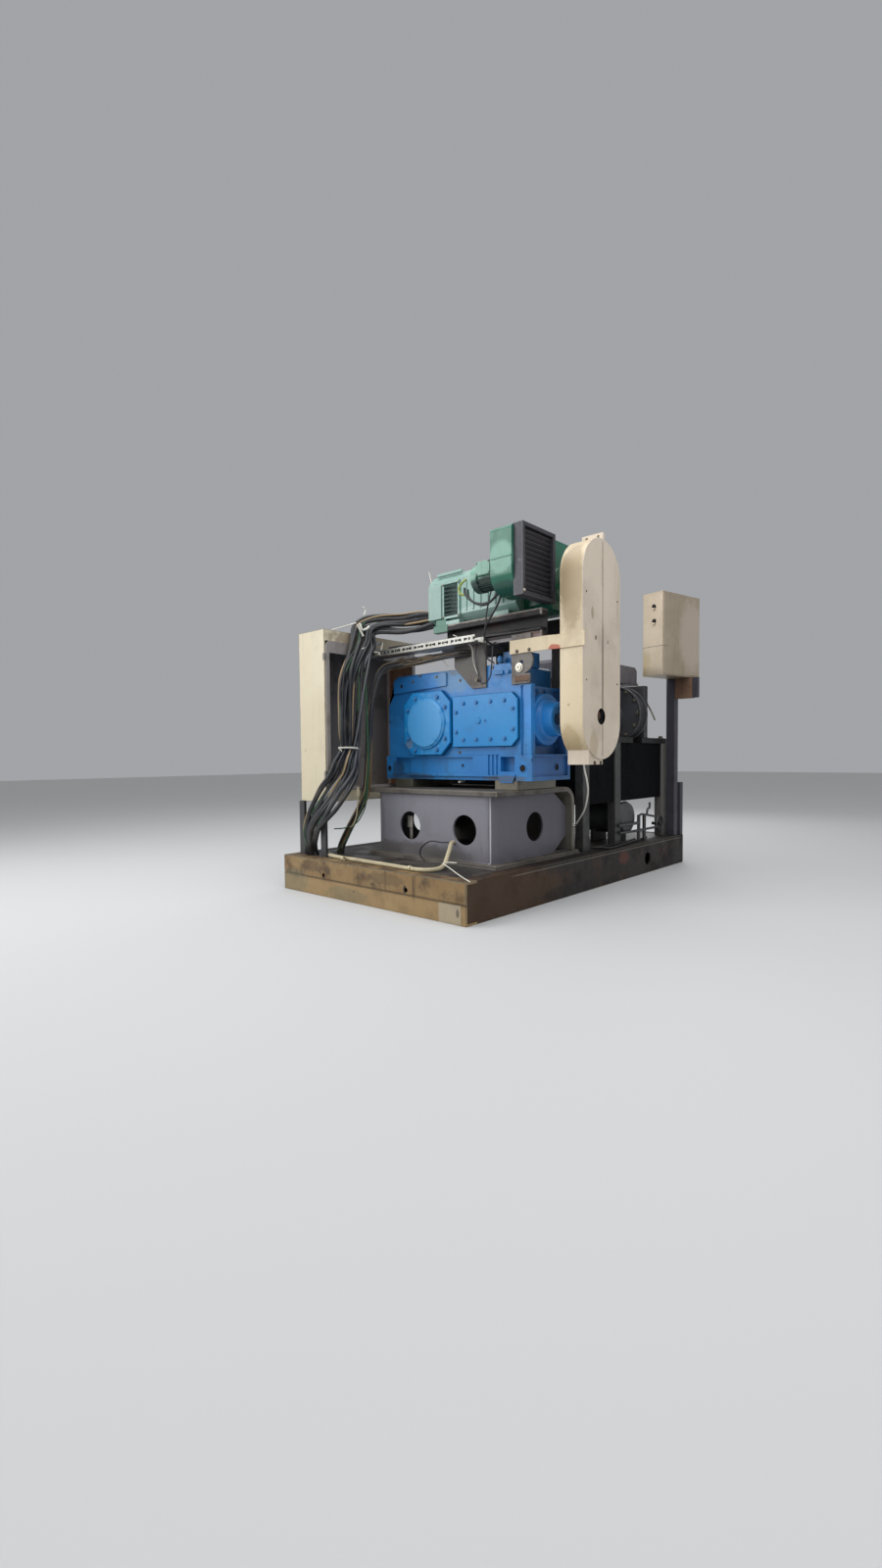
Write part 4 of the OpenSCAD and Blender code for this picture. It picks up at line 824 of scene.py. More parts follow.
def flatEdges(bm):
    # edges where a large flat face meets a small facet stay sharp, so that the face shades flat
    bm.edges.index_update()
    kept = []
    for e in bm.edges:
        if len(e.link_faces) == 2:
            small, large = sorted(f.calc_area() for f in e.link_faces)
            if large > 1.5e-4 and large > 8 * small and e.calc_face_angle(0) > math.radians(3):
                kept.append(e.index)
    return kept


def easeEdges(bm, width, angle):
    edges = [e for e in bm.edges if len(e.link_faces) == 2 and e.calc_face_angle(0) > math.radians(angle)]
    bmesh.ops.bevel(bm, geom=edges, offset=width, segments=1, profile=0.5, affect="EDGES", clamp_overlap=True)


def finishPiece(name, bm, look, bevel=0.0, smooth=40, recalc=True):
    if recalc:
        bmesh.ops.recalc_face_normals(bm, faces=bm.faces)
    if bevel:
        easeEdges(bm, bevel, 35)
    mesh = bpy.data.meshes.new(name)
    kept = flatEdges(bm)
    bm.to_mesh(mesh)
    bm.free()
    mesh.shade_smooth()
    mesh.set_sharp_from_angle(angle=math.radians(smooth))
    for i in kept:
        mesh.edges[i].use_edge_sharp = True
    mesh.materials.append(looks[look])
    obj = bpy.data.objects.new(name, mesh)
    bpy.context.scene.collection.objects.link(obj)
    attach(obj, "root")
    return obj


def boxesPiece(name, rows, look, bevel=0.0015):
    # rows: low corner and high corner in mm
    bm = bmesh.new()
    for low, high in rows:
        addBox(bm, spot(*low), spot(*high))
    return finishPiece(name, bm, look, bevel=bevel, smooth=27)


def boreSet(name, rows, ringLook, ring=0.004, height=0.002):
    # holes as thin black discs on the surface, painted shade of each hole, with a faced rim; rows: place,
    # aim, radius in mm
    rims, holes = bmesh.new(), bmesh.new()
    for place, aim, radius in rows:
        addRing(rims, place, aim, radius / 1000, radius / 1000 + ring, height)
        addTurned(holes, place, aim, [(0, radius / 1000), (0.0007, radius / 1000)], 28)
    finishPiece(name + "Rims", rims, ringLook, smooth=30)
    finishPiece(name + "Holes", holes, "blackAndHoleShade", smooth=30)


def softened(node, look, width):
    # a merged copy of a CAD node with eased edges takes the node's place
    source = cadNodes[node]
    bm = bmesh.new()
    bm.from_mesh(source.data)
    bmesh.ops.remove_doubles(bm, verts=bm.verts, dist=2e-6)
    bmesh.ops.dissolve_limit(bm, angle_limit=math.radians(0.6), verts=bm.verts, edges=bm.edges)
    before = bm.calc_volume()
    easeEdges(bm, width, 50)
    after = bm.calc_volume()
    piece = finishPiece(node + "Eased", bm, look, smooth=27, recalc=False)
    if before <= 0 or not 0.97 < after / before < 1.005:
        print("left as it is:", node, round(after / max(before, 1e-9), 3))
        bpy.data.objects.remove(piece)
        dress(node, look)
    else:
        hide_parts(node)


def dress(node, look):
    materials = cadNodes[node].data.materials
    materials.clear()
    materials.append(looks[look])


# the free lead first

leadSetup = {
    "radius": 0.005,
    "route": [
        (1770, 730, 806), (1769, 742, 765), (1757, 785, 712), (1728, 850, 652), (1682, 920, 590),
        (1622, 1000, 530), (1560, 1070, 482), (1500, 1130, 442), (1458, 1175, 414), (1425, 1195, 402)],
}


def makeLead(setup):
    path = smoothPath(spots(setup["route"]), 4)
    bm = bmesh.new()
    addTube(bm, path, setup["radius"], 12)
    lead = finishPiece("guardLead", bm, "whitePlastic")
    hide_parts("guard_lead")


makeLead(leadSetup)
print("lead made")


# CAD nodes: finish on each, eased edges where they show

# the finish of each node and the width in m of its eased edges, 0 where they stay sharp
nodeLooks = {
    "skid_front_beam": ("skidFront", 0.004), "skid_rear_beam": ("skidSide", 0.004),
    "skid_side_beams": ("skidSide", 0.004), "skid_cross_beams": ("skidSide", 0), "skid_deck": ("deck", 0),
    "pedestal_base": ("pedestalPlate", 0.003), "pedestal_webs": ("pedestal", 0.0015),
    "pedestal_top": ("pedestalPlate", 0.003), "foot_bars": ("bareSteel", 0.002),
    "gear_case_foot": ("gearBlue", 0.006), "gear_case": ("gearBlue", 0.005),
    "bearing_cover": ("gearCover", 0.003), "inspection_cover": ("gearCover", 0.003),
    "input_housing": ("gearBlue", 0.004), "drive_shafts": ("shaftSteel", 0),
    "guard_case": ("guardCream", 0.0015), "guard_covers": ("guardCover", 0.001),
    "guard_strap": ("guardCream", 0.001), "guard_brackets": ("guardCover", 0),
    "belt_pulleys": ("pulleyIron", 0), "drive_belts": ("beltRubber", 0),
    "platform_brackets": ("bracketGrey", 0.0015), "platform_channels": ("railBrown", 0.003),
    "motor_body": ("motorMint", 0.005), "motor_vent": ("motorMint", 0.002),
    "motor_end_block": ("motorGreen", 0.004), "blower_scroll": ("motorGreen", 0.002),
    "blower_motor": ("blowerMint", 0.002), "intake_filter": ("slate", 0.001),
    "cabinet_shell": ("cabinetCream", 0.0012), "cabinet_frame": ("cabinetInner", 0.001),
    "cabinet_legs": ("legDark", 0), "cable_tray": ("trayZinc", 0.0008),
    "stand_columns": ("columnDark", 0.002), "stand_panels": ("panelBlack", 0),
    "stand_table": ("tableOily", 0.003), "roll_housings": ("housingIron", 0.006),
    "roll_chocks": ("chockIron", 0), "work_rolls": ("rollSteel", 0), "roll_spindle": ("spindleSteel", 0),
    "roll_hood": ("hoodGrey", 0.002), "flanged_drum": ("drumIron", 0.003), "pump_unit": ("pumpGrey", 0.003),
    "control_post": ("postBlue", 0.002), "control_box": ("stainless", 0.002), "conduit": ("creamPlastic", 0),
    "power_loom": ("cablePlain", 0), "control_loom": ("cablePlain", 0),
}
for node, (look, width) in nodeLooks.items():
    if width:
        softened(node, look, width)
    else:
        dress(node, look)
print("CAD nodes dressed")


# geometry node trees for what repeats or follows a path

def newTree(name, **inputs):
    # a whole number makes an input for whole numbers
    tree = bpy.data.node_groups.new(name, "GeometryNodeTree")
    tree.interface.new_socket("Geometry", in_out="INPUT", socket_type="NodeSocketGeometry")
    for label, value in inputs.items():
        kind = "NodeSocketInt" if isinstance(value, int) else "NodeSocketFloat"
        sock = tree.interface.new_socket(label.replace("_", " "), in_out="INPUT", socket_type=kind)
        sock.default_value = value
    tree.interface.new_socket("Finish", in_out="INPUT", socket_type="NodeSocketMaterial")
    tree.interface.new_socket("Geometry", in_out="OUTPUT", socket_type="NodeSocketGeometry")
    return tree, tree.nodes.new("NodeGroupInput").outputs, tree.nodes.new("NodeGroupOutput").inputs


def addNode(tree, kind, links=None, **settings):
    node = tree.nodes.new(kind)
    for label, value in settings.items():
        setattr(node, label, value)
    for key, value in (links or {}).items():
        linkOrSet(tree, node.inputs[key], value)
    return node


def named(tree, name, kind):
    node = addNode(tree, "GeometryNodeInputNamedAttribute", {"Name": name}, data_type=kind)
    return node.outputs["Attribute"]


def tubeAlong(tree, given, sides, thickness):
    # round stock along the poly lines that come in, at even steps
    curve = addNode(tree, "GeometryNodeMeshToCurve", {"Mesh": given["Geometry"]})
    even = addNode(tree, "GeometryNodeResampleCurve", {
        "Curve": curve.outputs[0], "Length": given["Step"]}, mode="LENGTH")
    ring = addNode(tree, "GeometryNodeCurvePrimitiveCircle", {
        "Resolution": sides, "Radius": 1.0}, mode="RADIUS")
    body = addNode(tree, "GeometryNodeCurveToMesh", {
        "Curve": even.outputs[0], "Profile Curve": ring.outputs[0], "Fill Caps": True, "Scale": thickness})
    return body.outputs[0]


def randomBetween(tree, seed, low, high):
    node = addNode(tree, "FunctionNodeRandomValue", {"Seed": seed}, data_type="FLOAT")
    node.inputs[2].default_value = low
    node.inputs[3].default_value = high
    return node.outputs[1]


def closeTree(tree, given, result, geometry):
    real = addNode(tree, "GeometryNodeRealizeInstances", {"Geometry": geometry})
    done = addNode(tree, "GeometryNodeSetMaterial", {
        "Geometry": real.outputs[0], "Material": given["Finish"]})
    tree.links.new(done.outputs[0], result["Geometry"])
    return tree


def makeBoltTree():
    # a six-sided head with a chamfer, on a round washer, at each point, facing along its aim
    tree, given, result = newTree("boltHeads", Head_Radius=0.012, Head_Height=0.009, Washer_Radius=0.016,
                                  Sides=6, Seed=3)
    measures = ("Head Radius", "Head Height", "Washer Radius", "Sides")
    radius, height, washer, sides = (given[k] for k in measures)

    def raised(shape, value):
        lift = addNode(tree, "ShaderNodeCombineXYZ", {"Z": value})
        moved = addNode(tree, "GeometryNodeTransform", {"Geometry": shape, "Translation": lift.outputs[0]})
        return moved.outputs[0]

    disc = addNode(tree, "GeometryNodeMeshCylinder", {
        "Vertices": 20, "Radius": washer, "Depth": product(tree, height, 0.3)})
    head = addNode(tree, "GeometryNodeMeshCylinder", {"Vertices": sides, "Radius": radius, "Depth": height})
    cap = addNode(tree, "GeometryNodeMeshCone", {
        "Vertices": sides, "Radius Top": product(tree, radius, 0.82), "Radius Bottom": radius,
        "Depth": product(tree, height, 0.2)})
    both = addNode(tree, "GeometryNodeJoinGeometry")
    for shape, share in ((disc, 0.13), (head, 0.6), (cap, 1.1)):
        tree.links.new(raised(shape.outputs[0], product(tree, height, share)), both.inputs[0])
    aim = named(tree, "aim", "FLOAT_VECTOR")
    turn = addNode(tree, "FunctionNodeAlignRotationToVector", {"Vector": aim}, axis="Z")
    spin = randomBetween(tree, given["Seed"], 0, 1.05)
    euler = addNode(tree, "ShaderNodeCombineXYZ", {"Z": spin})
    own = addNode(tree, "FunctionNodeEulerToRotation", {0: euler.outputs[0]})
    rotation = addNode(tree, "FunctionNodeRotateRotation", {0: turn.outputs[0], 1: own.outputs[0]},
                       rotation_space="LOCAL")
    placed = addNode(tree, "GeometryNodeInstanceOnPoints", {
        "Points": given["Geometry"], "Instance": both.outputs[0], "Rotation": rotation.outputs[0],
        "Scale": named(tree, "size", "FLOAT")})
    return closeTree(tree, given, result, placed.outputs[0])


def makeStrandTree():
    # round strands along poly lines, each as thick as its points' thickness
    tree, given, result = newTree("roundStrands", Sides=8, Step=0.012)
    body = tubeAlong(tree, given, given["Sides"], named(tree, "thickness", "FLOAT"))
    return closeTree(tree, given, result, body)


def makeBeadTree():
    # a rippled weld bead along poly lines
    tree, given, result = newTree("weldBeads", Bead_Radius=0.004, Ripple=0.18, Step=0.004, Seed=5)
    wobble = randomBetween(tree, given["Seed"], -1, 1)
    share = mathNode(tree, "MULTIPLY_ADD", wobble, given["Ripple"], 1.0)
    thick = product(tree, share, given["Bead Radius"])
    return closeTree(tree, given, result, tubeAlong(tree, given, 6, thick))


geometryTrees = {"bolts": makeBoltTree(), "strands": makeStrandTree(), "beads": makeBeadTree()}


def setInputs(modifier, tree, values):
    for item in tree.interface.items_tree:
        if item.item_type == "SOCKET" and item.in_out == "INPUT" and item.name in values:
            modifier[item.identifier] = values[item.name]


def grow(name, mesh, treeName, look, node, smooth, **values):
    # runs a tree on a mesh of points or lines and keeps the plain result
    obj = bpy.data.objects.new(name, mesh)
    bpy.context.scene.collection.objects.link(obj)
    tree = geometryTrees[treeName]
    modifier = obj.modifiers.new("grown", "NODES")
    modifier.node_group = tree
    setInputs(modifier, tree, {"Finish": looks[look], **{k.replace("_", " "): v for k, v in values.items()}})
    bpy.context.view_layer.update()
    done = bpy.data.meshes.new_from_object(obj.evaluated_get(bpy.context.evaluated_depsgraph_get()))
    obj.modifiers.remove(modifier)
    obj.data = done
    bpy.data.meshes.remove(mesh)
    done.name = name
    done.materials.clear()
    done.materials.append(looks[look])
    for face in done.polygons:
        face.material_index = 0
    bm = bmesh.new()
    bm.from_mesh(done)
    bmesh.ops.remove_doubles(bm, verts=bm.verts, dist=1e-6)
    bmesh.ops.recalc_face_normals(bm, faces=bm.faces)
    bm.to_mesh(done)
    bm.free()
    done.shade_smooth()
    done.set_sharp_from_angle(angle=math.radians(smooth))
    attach(obj, "root")
    return obj


def boltSet(name, rows, look, node, head, sides=6):
    # rows: place, aim and size; head: its radius and height, and the washer's radius
    mesh = bpy.data.meshes.new(name + "Points")
    mesh.from_pydata([tuple(r[0]) for r in rows], [], [])
    for label, kind in (("aim", "FLOAT_VECTOR"), ("size", "FLOAT")):
        mesh.attributes.new(label, kind, "POINT")
    for i, (_, direction, scale) in enumerate(rows):
        mesh.attributes["aim"].data[i].vector = direction
        mesh.attributes["size"].data[i].value = scale
    radius, height, washer = head
    return grow(name, mesh, "bolts", look, node, 35, Head_Radius=radius, Head_Height=height,
                Washer_Radius=washer, Sides=sides)


def lineMesh(name, lines, thick=None, tones=None):
    verts, edges, owner = [], [], []
    for n, line in enumerate(lines):
        first = len(verts)
        verts += [tuple(p) for p in line]
        owner += [n] * len(line)
        edges += [(first + i, first + i + 1) for i in range(len(line) - 1)]
    mesh = bpy.data.meshes.new(name + "Lines")
    mesh.from_pydata(verts, edges, [])
    for label, values in (("thickness", thick), ("cableTone", tones)):
        if values is not None:
            mesh.attributes.new(label, "FLOAT", "POINT")
            for i, n in enumerate(owner):
                mesh.attributes[label].data[i].value = values[n]
    return mesh


def strandSet(name, lines, thick, look, node, tones=None, **values):
    return grow(name, lineMesh(name, lines, thick, tones), "strands", look, node, 60, **values)


def beadSet(name, lines, look, node, **values):
    return grow(name, lineMesh(name, lines), "beads", look, node, 80, **values)


front, right, rear, upward = (0, -1, 0), (1, 0, 0), (0, 1, 0), (0, 0, 1)


# shared ways to set small parts

def bolted(places, aim, size=1.0):
    # rows for boltSet, each place moved onto the CAD surface that it faces
    return [(seated(p, aim), aim, size) for p in places]


def bored(rows):
    return [(seated(place, aim), aim, radius) for place, aim, radius in rows]


def turnedPiece(name, rows, look):
    # rows: place in mm, aim, and a profile of distance and radius in mm
    bm = bmesh.new()
    for place, aim, profile in rows:
        addTurned(bm, spot(*place), aim, [(d / 1000, r / 1000) for d, r in profile], 28)
    return finishPiece(name, bm, look, smooth=35)


def tubesPiece(name, rows, look, sides=12):
    # rows: points in mm and a radius in mm
    bm = bmesh.new()
    for points, radius in rows:
        addTube(bm, smoothPath(spots(points)), radius / 1000, sides)
    return finishPiece(name, bm, look, smooth=50)


def wireSet(name, rows, look, node, sides=8):
    # rows: points in mm and a radius in mm
    lines = [smoothPath(spots(points)) for points, _ in rows]
    return strandSet(name, lines, [r / 1000 for _, r in rows], look, node, Sides=sides, Step=0.008)


# gear unit: bolts, plugs, bores and small castings

gearUnit = {
    "headRadius": 0.0115,
    "headHeight": 0.01,
    "middle": 800,
    "octagonBolts": [
        (651, 1214), (838, 1211), (903, 1146), (901, 954), (834, 886), (646, 883), (584, 959), (583, 1143)],
    "inspectionBolts": [
        (1046, 1160), (1145, 1160), (1251, 1160), (1350, 1160), (1044, 943), (1143, 943), (1250, 943),
        (1352, 943), (987, 1109), (987, 991), (1409, 1112), (1409, 996)],
    "flangeBolts": [(838, 1217), (943, 1230), (836, 907), (942, 896)],
    "plugs": [(605, 1325), (672, 1357), (814, 1340), (998, 1304), (991, 867), (1250, 1358)],
    "bores": [
        ((1459, 600, 772), front, 20), ((369, 600, 768), front, 18), ((1504, 876, 775), right, 20),
        ((503, 590, 1306), front, 13), ((1002, 616, 787), front, 9), ((1209, 574, 1050), front, 4)],
    "smallPlates": [((1262, 586, 1311), (1330, 592, 1334)), ((1345, 586, 1313), (1372, 592, 1334))],
    "gasketShadeWidth": 0.004,
    "gasketShadeLines": [("bearing_cover", 566, 18), ("inspection_cover", 574, 12)],
    "breather": (1273, 640, 1366),
    "breatherProfile": [(0, 9), (20, 9), (22, 16), (40, 17), (52, 14), (60, 6)],
    "drain": [(984, 650, 706), (984, 648, 690), (984, 620, 687), (984, 600, 687)],
}


def makeGasketShadeLines(unit):
    # a dark line round each cover, a joint and a painted shadow line in one, drawn from the outline of its
    # own flange
    bm = bmesh.new()
    for node, face, depth in unit["gasketShadeLines"]:
        for y, way in ((face, 1), (2 * unit["middle"] - face, -1)):
            level = spot(0, y, 0).y
            flat = [v.co for v in cadNodes[node].data.vertices if abs(v.co.y - level) < 0.0006]
            middle = sum(flat, Vector()) / len(flat)
            order = [flat[i] for i in convex_hull_2d([(v.x, v.z) for v in flat])]
            inward = Vector((0, way * depth / 1000, 0))
            outline = [v + (v - middle).normalized() * unit["gasketShadeWidth"] + inward for v in order]
            addPrism(bm, outline, (0, way * unit["gasketShadeWidth"], 0))
    finishPiece("gearGasketShadeLines", bm, "jointAndShadeDark", smooth=30)


def makeGearParts(unit):
    node, radius, height = "gear_case", unit["headRadius"], unit["headHeight"]
    rows = []
    for key, face, size in (("octagonBolts", 566, 1.0), ("inspectionBolts", 574, 0.85)):
        for depth, aim in ((face, front), (2 * unit["middle"] - face, rear)):
            rows += bolted([(x, depth, z) for x, z in unit[key]], aim, size)
    for y, z in unit["flangeBolts"]:
        rows += bolted([(1450, y, z), (1450, 2 * unit["middle"] - y, z)], right, 0.9)
    boltSet("gearBolts", rows, "boltBlue", node, (radius, height, radius * 1.35))
    plugs = bolted([(x, 590, z) for x, z in unit["plugs"]], front, 0.62)
    boltSet("gearPlugs", plugs, "boltSteel", node, (radius, height * 0.7, radius * 1.3))
    boreSet("gearBores", bored(unit["bores"]), "gearBlue", ring=0.006, height=0.003)
    boxesPiece("gearSmallPlates", unit["smallPlates"], "boltBlue", 0.0008)
    turnedPiece("gearBreather", [(unit["breather"], upward, unit["breatherProfile"])], "boltBlue")
    tubesPiece("gearDrain", [(unit["drain"], 7)], "brightZinc")


makeGearParts(gearUnit)
makeGasketShadeLines(gearUnit)
print("gear unit detailed")


# brackets, strap and guard

guardUnit = {
    "strapBolts": [(1436, 580, 1426), (1518, 580, 1427)],
    "bracketBolt": (1141, 588, 1294),
    "washer": (1447, 588, 1336),
    "washerProfile": [(0, 27), (5, 27), (6, 24), (6, 17), (12, 15), (12, 7), (6, 6), (6, 0)],
    "shim": ((1416, 584, 1259), (1508, 612, 1291)),
    "seam": ((1836, 810.6, 836), (1840.6, 813.4, 1994)),
    "shaftHole": (1840, 810, 1060),
    "shaftHoleRadius": 44,
    "footScrews": [(1834, 735, 801), (1834, 800, 801)],
    "coverScrews": [(1840, 640, 1240), (1840, 640, 1700), (1840, 976, 1240), (1840, 976, 1700)],
}


def makeGuardParts(unit):
    node = "guard_case"
    rows = bolted(unit["strapBolts"], front, 0.75) + bolted([unit["bracketBolt"]], front, 1.1)
    boltSet("strapBolts", rows, "boltSteel", "guard_strap", (0.010, 0.008, 0.014))
    bm = bmesh.new()
    profile = [(along / 1000, radius / 1000) for along, radius in unit["washerProfile"]]
    addTurned(bm, seated(unit["washer"], front), front, profile)
    finishPiece("bracketWasher", bm, "brightZinc", smooth=35)
    boxesPiece("bracketShim", [unit["shim"]], "rustPlate")
    boxesPiece("guardSeam", [unit["seam"]], "blackAndHoleShade", 0)
    hole = seated(unit["shaftHole"], right)
    radius = unit["shaftHoleRadius"] / 1000
    # guardHole is a black disc on the face, painted shade of the shaft hole
    for name, profile, look, sides in (
            ("guardHole", [(0, radius), (0.0008, radius)], "blackAndHoleShade", 40),
            ("guardShaftEnd", [(0, 0.021), (0.0014, 0.021), (0.0018, 0.017)], "rustPlate", 32)):
        bm = bmesh.new()
        addTurned(bm, hole, right, profile, sides)
        finishPiece(name, bm, look, smooth=35)
    rows = bolted(unit["footScrews"], right, 0.9) + bolted(unit["coverScrews"], right, 0.4)
    boltSet("guardScrews", rows, "boltSteel", node, (0.009, 0.006, 0.012))


makeGuardParts(guardUnit)
print("guard detailed")


# motor and blower

motorUnit = {
    "panel": ((728, 611, 1698), (838, 622, 1908)),
    "topRibs": [((776, y, 1968), (980, y + 16, 1986)) for y in (640, 712, 784, 856, 928)],
    "foot": [((783, 598, 1611), (900, 640, 1655)), ((800, 604, 1648), (884, 630, 1690))],
    "ventScrews": [(858, 608, 1700), (982, 608, 1700), (858, 608, 1900), (982, 608, 1900)],
    "boxScrews": [(1293, 404, 1843), (1375, 404, 1843), (1293, 404, 1903), (1375, 404, 1903)],
    "fins": {"x": (1256, 1408), "count": 11, "middle": (500, 1842), "inner": 60, "outer": 74,
             "start": 150, "pitch": 24, "half": 2.2},
    "scrollSeam": ((1421, 358.5, 1886), (1559, 361.5, 1892)),
    "rimScrews": [(1620, 392, 1701)],
    "loops": [
        ([(1150, 470, 1806), (1160, 462, 1770), (1201, 455, 1731), (1254, 452, 1698), (1307, 455, 1684),
          (1360, 458, 1704), (1397, 462, 1740), (1404, 472, 1800)], 7),
        ([(1158, 490, 1800), (1176, 478, 1752), (1226, 466, 1712), (1300, 462, 1694), (1362, 470, 1716),
          (1392, 480, 1790)], 5.5),
        ([(1404, 470, 1796), (1418, 462, 1740), (1412, 452, 1690), (1384, 446, 1640), (1344, 444, 1590),
          (1318, 448, 1560), (1304, 460, 1500), (1300, 520, 1478), (1300, 600, 1470), (1300, 640, 1452)], 6)],
    "drops": [
        ([(1325, 500, 1782), (1312, 490, 1719), (1296, 486, 1640), (1288, 486, 1570), (1266, 500, 1490),
          (1259, 530, 1408), (1262, 584, 1386), (1264, 596, 1376)], 4),
        ([(1165, 560, 1503), (1170, 540, 1440), (1172, 540, 1418), (1193, 540, 1303), (1221, 545, 1262),
          (1272, 545, 1296), (1287, 545, 1394), (1284, 560, 1480), (1282, 590, 1496)], 4)],
    "earth": [
        ([(1120, 520, 1872), (1106, 500, 1850), (1088, 492, 1821), (1096, 492, 1790), (1118, 500, 1776)], 6)],
    "antenna": [([(731, 640, 1925), (724, 640, 1966), (709, 640, 2016)], 2.5)],
}


def makeMotorParts(unit):
    node, blower = "motor_body", "blower_motor"
    boxesPiece("motorPanel", [unit["panel"]], "motorMint", 0.003)
    boxesPiece("motorTopRibs", unit["topRibs"], "motorMint", 0.003)
    boxesPiece("motorFootFront", unit["foot"], "motorGreen", 0.002)
    rows = bolted(unit["ventScrews"], front, 0.6) + bolted(unit["boxScrews"], front, 0.45)
    boltSet("motorScrews", rows, "boltSteel", node, (0.009, 0.006, 0.012))
    fins = unit["fins"]
    bm = bmesh.new()
    y, z = fins["middle"]
    for k in range(fins["count"]):
        a = math.radians(fins["start"] + fins["pitch"] * k)
        way = Vector((0, math.cos(a), math.sin(a)))
        side = Vector((0, -math.sin(a), math.cos(a))) * (fins["half"] / 1000)
        low, high = way * fins["inner"] / 1000, way * fins["outer"] / 1000
        first = spot(fins["x"][0], y, z)
        addPrism(bm, [first + low - side, first + high - side, first + high + side, first + low + side],
                 ((fins["x"][1] - fins["x"][0]) / 1000, 0, 0))
    finishPiece("blowerFins", bm, "blowerMint", smooth=30)
    boxesPiece("scrollSeam", [unit["scrollSeam"]], "motorGreen", 0.001)
    boltSet("filterScrews", bolted(unit["rimScrews"], right, 0.8), "brightZinc", "intake_filter",
            (0.008, 0.006, 0.011))
    wireSet("blowerCables", unit["loops"], "blackRubber", blower, 10)
    wireSet("hangingWires", unit["drops"], "cablePlain", blower)
    wireSet("earthWire", unit["earth"], "earthYellow", blower)
    wireSet("probeWire", unit["antenna"], "whitePlastic", node)


makeMotorParts(motorUnit)
print("motor and blower detailed")


# cable tray, rail cables and cabinet

trayUnit = {
    "slots": {"from": 344, "to": 1200, "pitch": 34, "width": 12, "heights": (1513, 1528), "face": 488},
    "rail": [
        ([(420, 560 + 12 * k, 1560 - 6 * k), (520, 572 + 12 * k, 1562 - 7 * k),
          (700, 588 + 10 * k, 1556 - 8 * k), (846, 604 + 9 * k, 1552 - 6 * k),
          (1000, 612 + 9 * k, 1540 + 5 * (k % 3)), (1200, 616 + 9 * k, 1544 + 7 * (k % 2)),
          (1400, 618 + 9 * k, 1541 + 6 * (k % 3)), (1572, 620 + 9 * k, 1542 + 4 * (k % 2))], 8.5)
        for k in range(6)],
    "tan": [
        ([(470, 520 + 3 * k, 1418 + 6 * k), (560, 526 + 3 * k, 1428 + 7 * (k * 5 % 8)),
          (660, 530 + 3 * k, 1430 + 6 * (k * 3 % 8)), (780, 536 + 3 * k, 1438 + 5 * (k * 5 % 8)),
          (880, 548 + 2 * k, 1444 + 4 * k), (960, 566 + 2 * k, 1456 + 2 * k)], 4.5)
        for k in range(8)],
    "white": [
        ([(925, 586, 1376), (905, 578, 1410), (878, 560, 1446), (866, 548, 1470)], 2.5),
        ([(1033, 500, 1560), (1080, 520, 1530), (1131, 550, 1484), (1134, 560, 1420), (1136, 572, 1372),
          (1172, 580, 1290)], 2.5)],
    "hinges": [(321, 97, 718), (321, 97, 1448)],
    "sideLining": ((66, 893, 572), (316, 896, 1634)),
    "backLining": ((64, 106, 572), (67, 892, 1634)),
}


def makeTrayParts(unit):
    holes = unit["slots"]
    rows = []
    x = holes["from"]
    while x < holes["to"]:
        rows.append(((x, holes["face"] - 0.8, holes["heights"][0]),
                     (x + holes["width"], holes["face"] + 0.6, holes["heights"][1])))
        x += holes["pitch"]
    # painted shade: the tray's slots are thin black boxes on its face
    boxesPiece("traySlots", rows, "blackAndHoleShade", 0)
    wireSet("railCables", unit["rail"], "cablePlain", "platform_channels", 10)
    wireSet("tanWires", unit["tan"], "tanRubber", "cable_tray")
    wireSet("whiteWires", unit["white"], "whitePlastic", "cable_tray")
    boxesPiece("cabinetSideLining", [unit["sideLining"]], "liningRust", 0.0005)
    boxesPiece("cabinetBackLining", [unit["backLining"]], "liningGrey", 0.0005)
    turnedPiece("cabinetHinges", [(p, upward, [(0, 8), (42, 8)]) for p in unit["hinges"]], "cabinetInner")


makeTrayParts(trayUnit)
print("tray and cabinet detailed")


# skid, pedestal and conduit

baseUnit = {
    "frontWelds": [[(432, 418, 241), (1378, 418, 241)]],
    "sideWelds": [[(1382, 422, 241), (1382, 1178, 241)]],
    "deckWelds": [[(392, 378, 221), (1438, 378, 221)], [(1441, 382, 221), (1441, 1248, 221)]],
    "clips": [(506, 68, 234), (1069, 75, 234)],
    "loop": [
        ([(1094, 380, 346), (1049, 362, 345), (971, 350, 346), (906, 346, 306), (889, 350, 259),
          (921, 356, 224)], 4)],
    "tie": [
        ([(1289, 112, 276), (1340, 96, 266), (1450, 62, 238), (1544, 29, 222)], 2.8),
        ([(1288, 116, 280), (1330, 108, 288), (1392, 104, 292)], 2.6)],
    "inHole": [((655, 476, 400), (700, 484, 474)), ((668, 484, 240), (690, 492, 470))],
    "clamp": (1425, 1195, 402),
    "deckHoses": [
        ([(1415, 1443, 230), (1468, 1470, 230), (1515, 1510, 229), (1500, 1700, 229), (1463, 2019, 229),
          (1440, 2200, 229)], 8),
        ([(1400, 1460, 228), (1440, 1560, 228), (1444, 1800, 228), (1420, 2050, 228)], 6)],
}


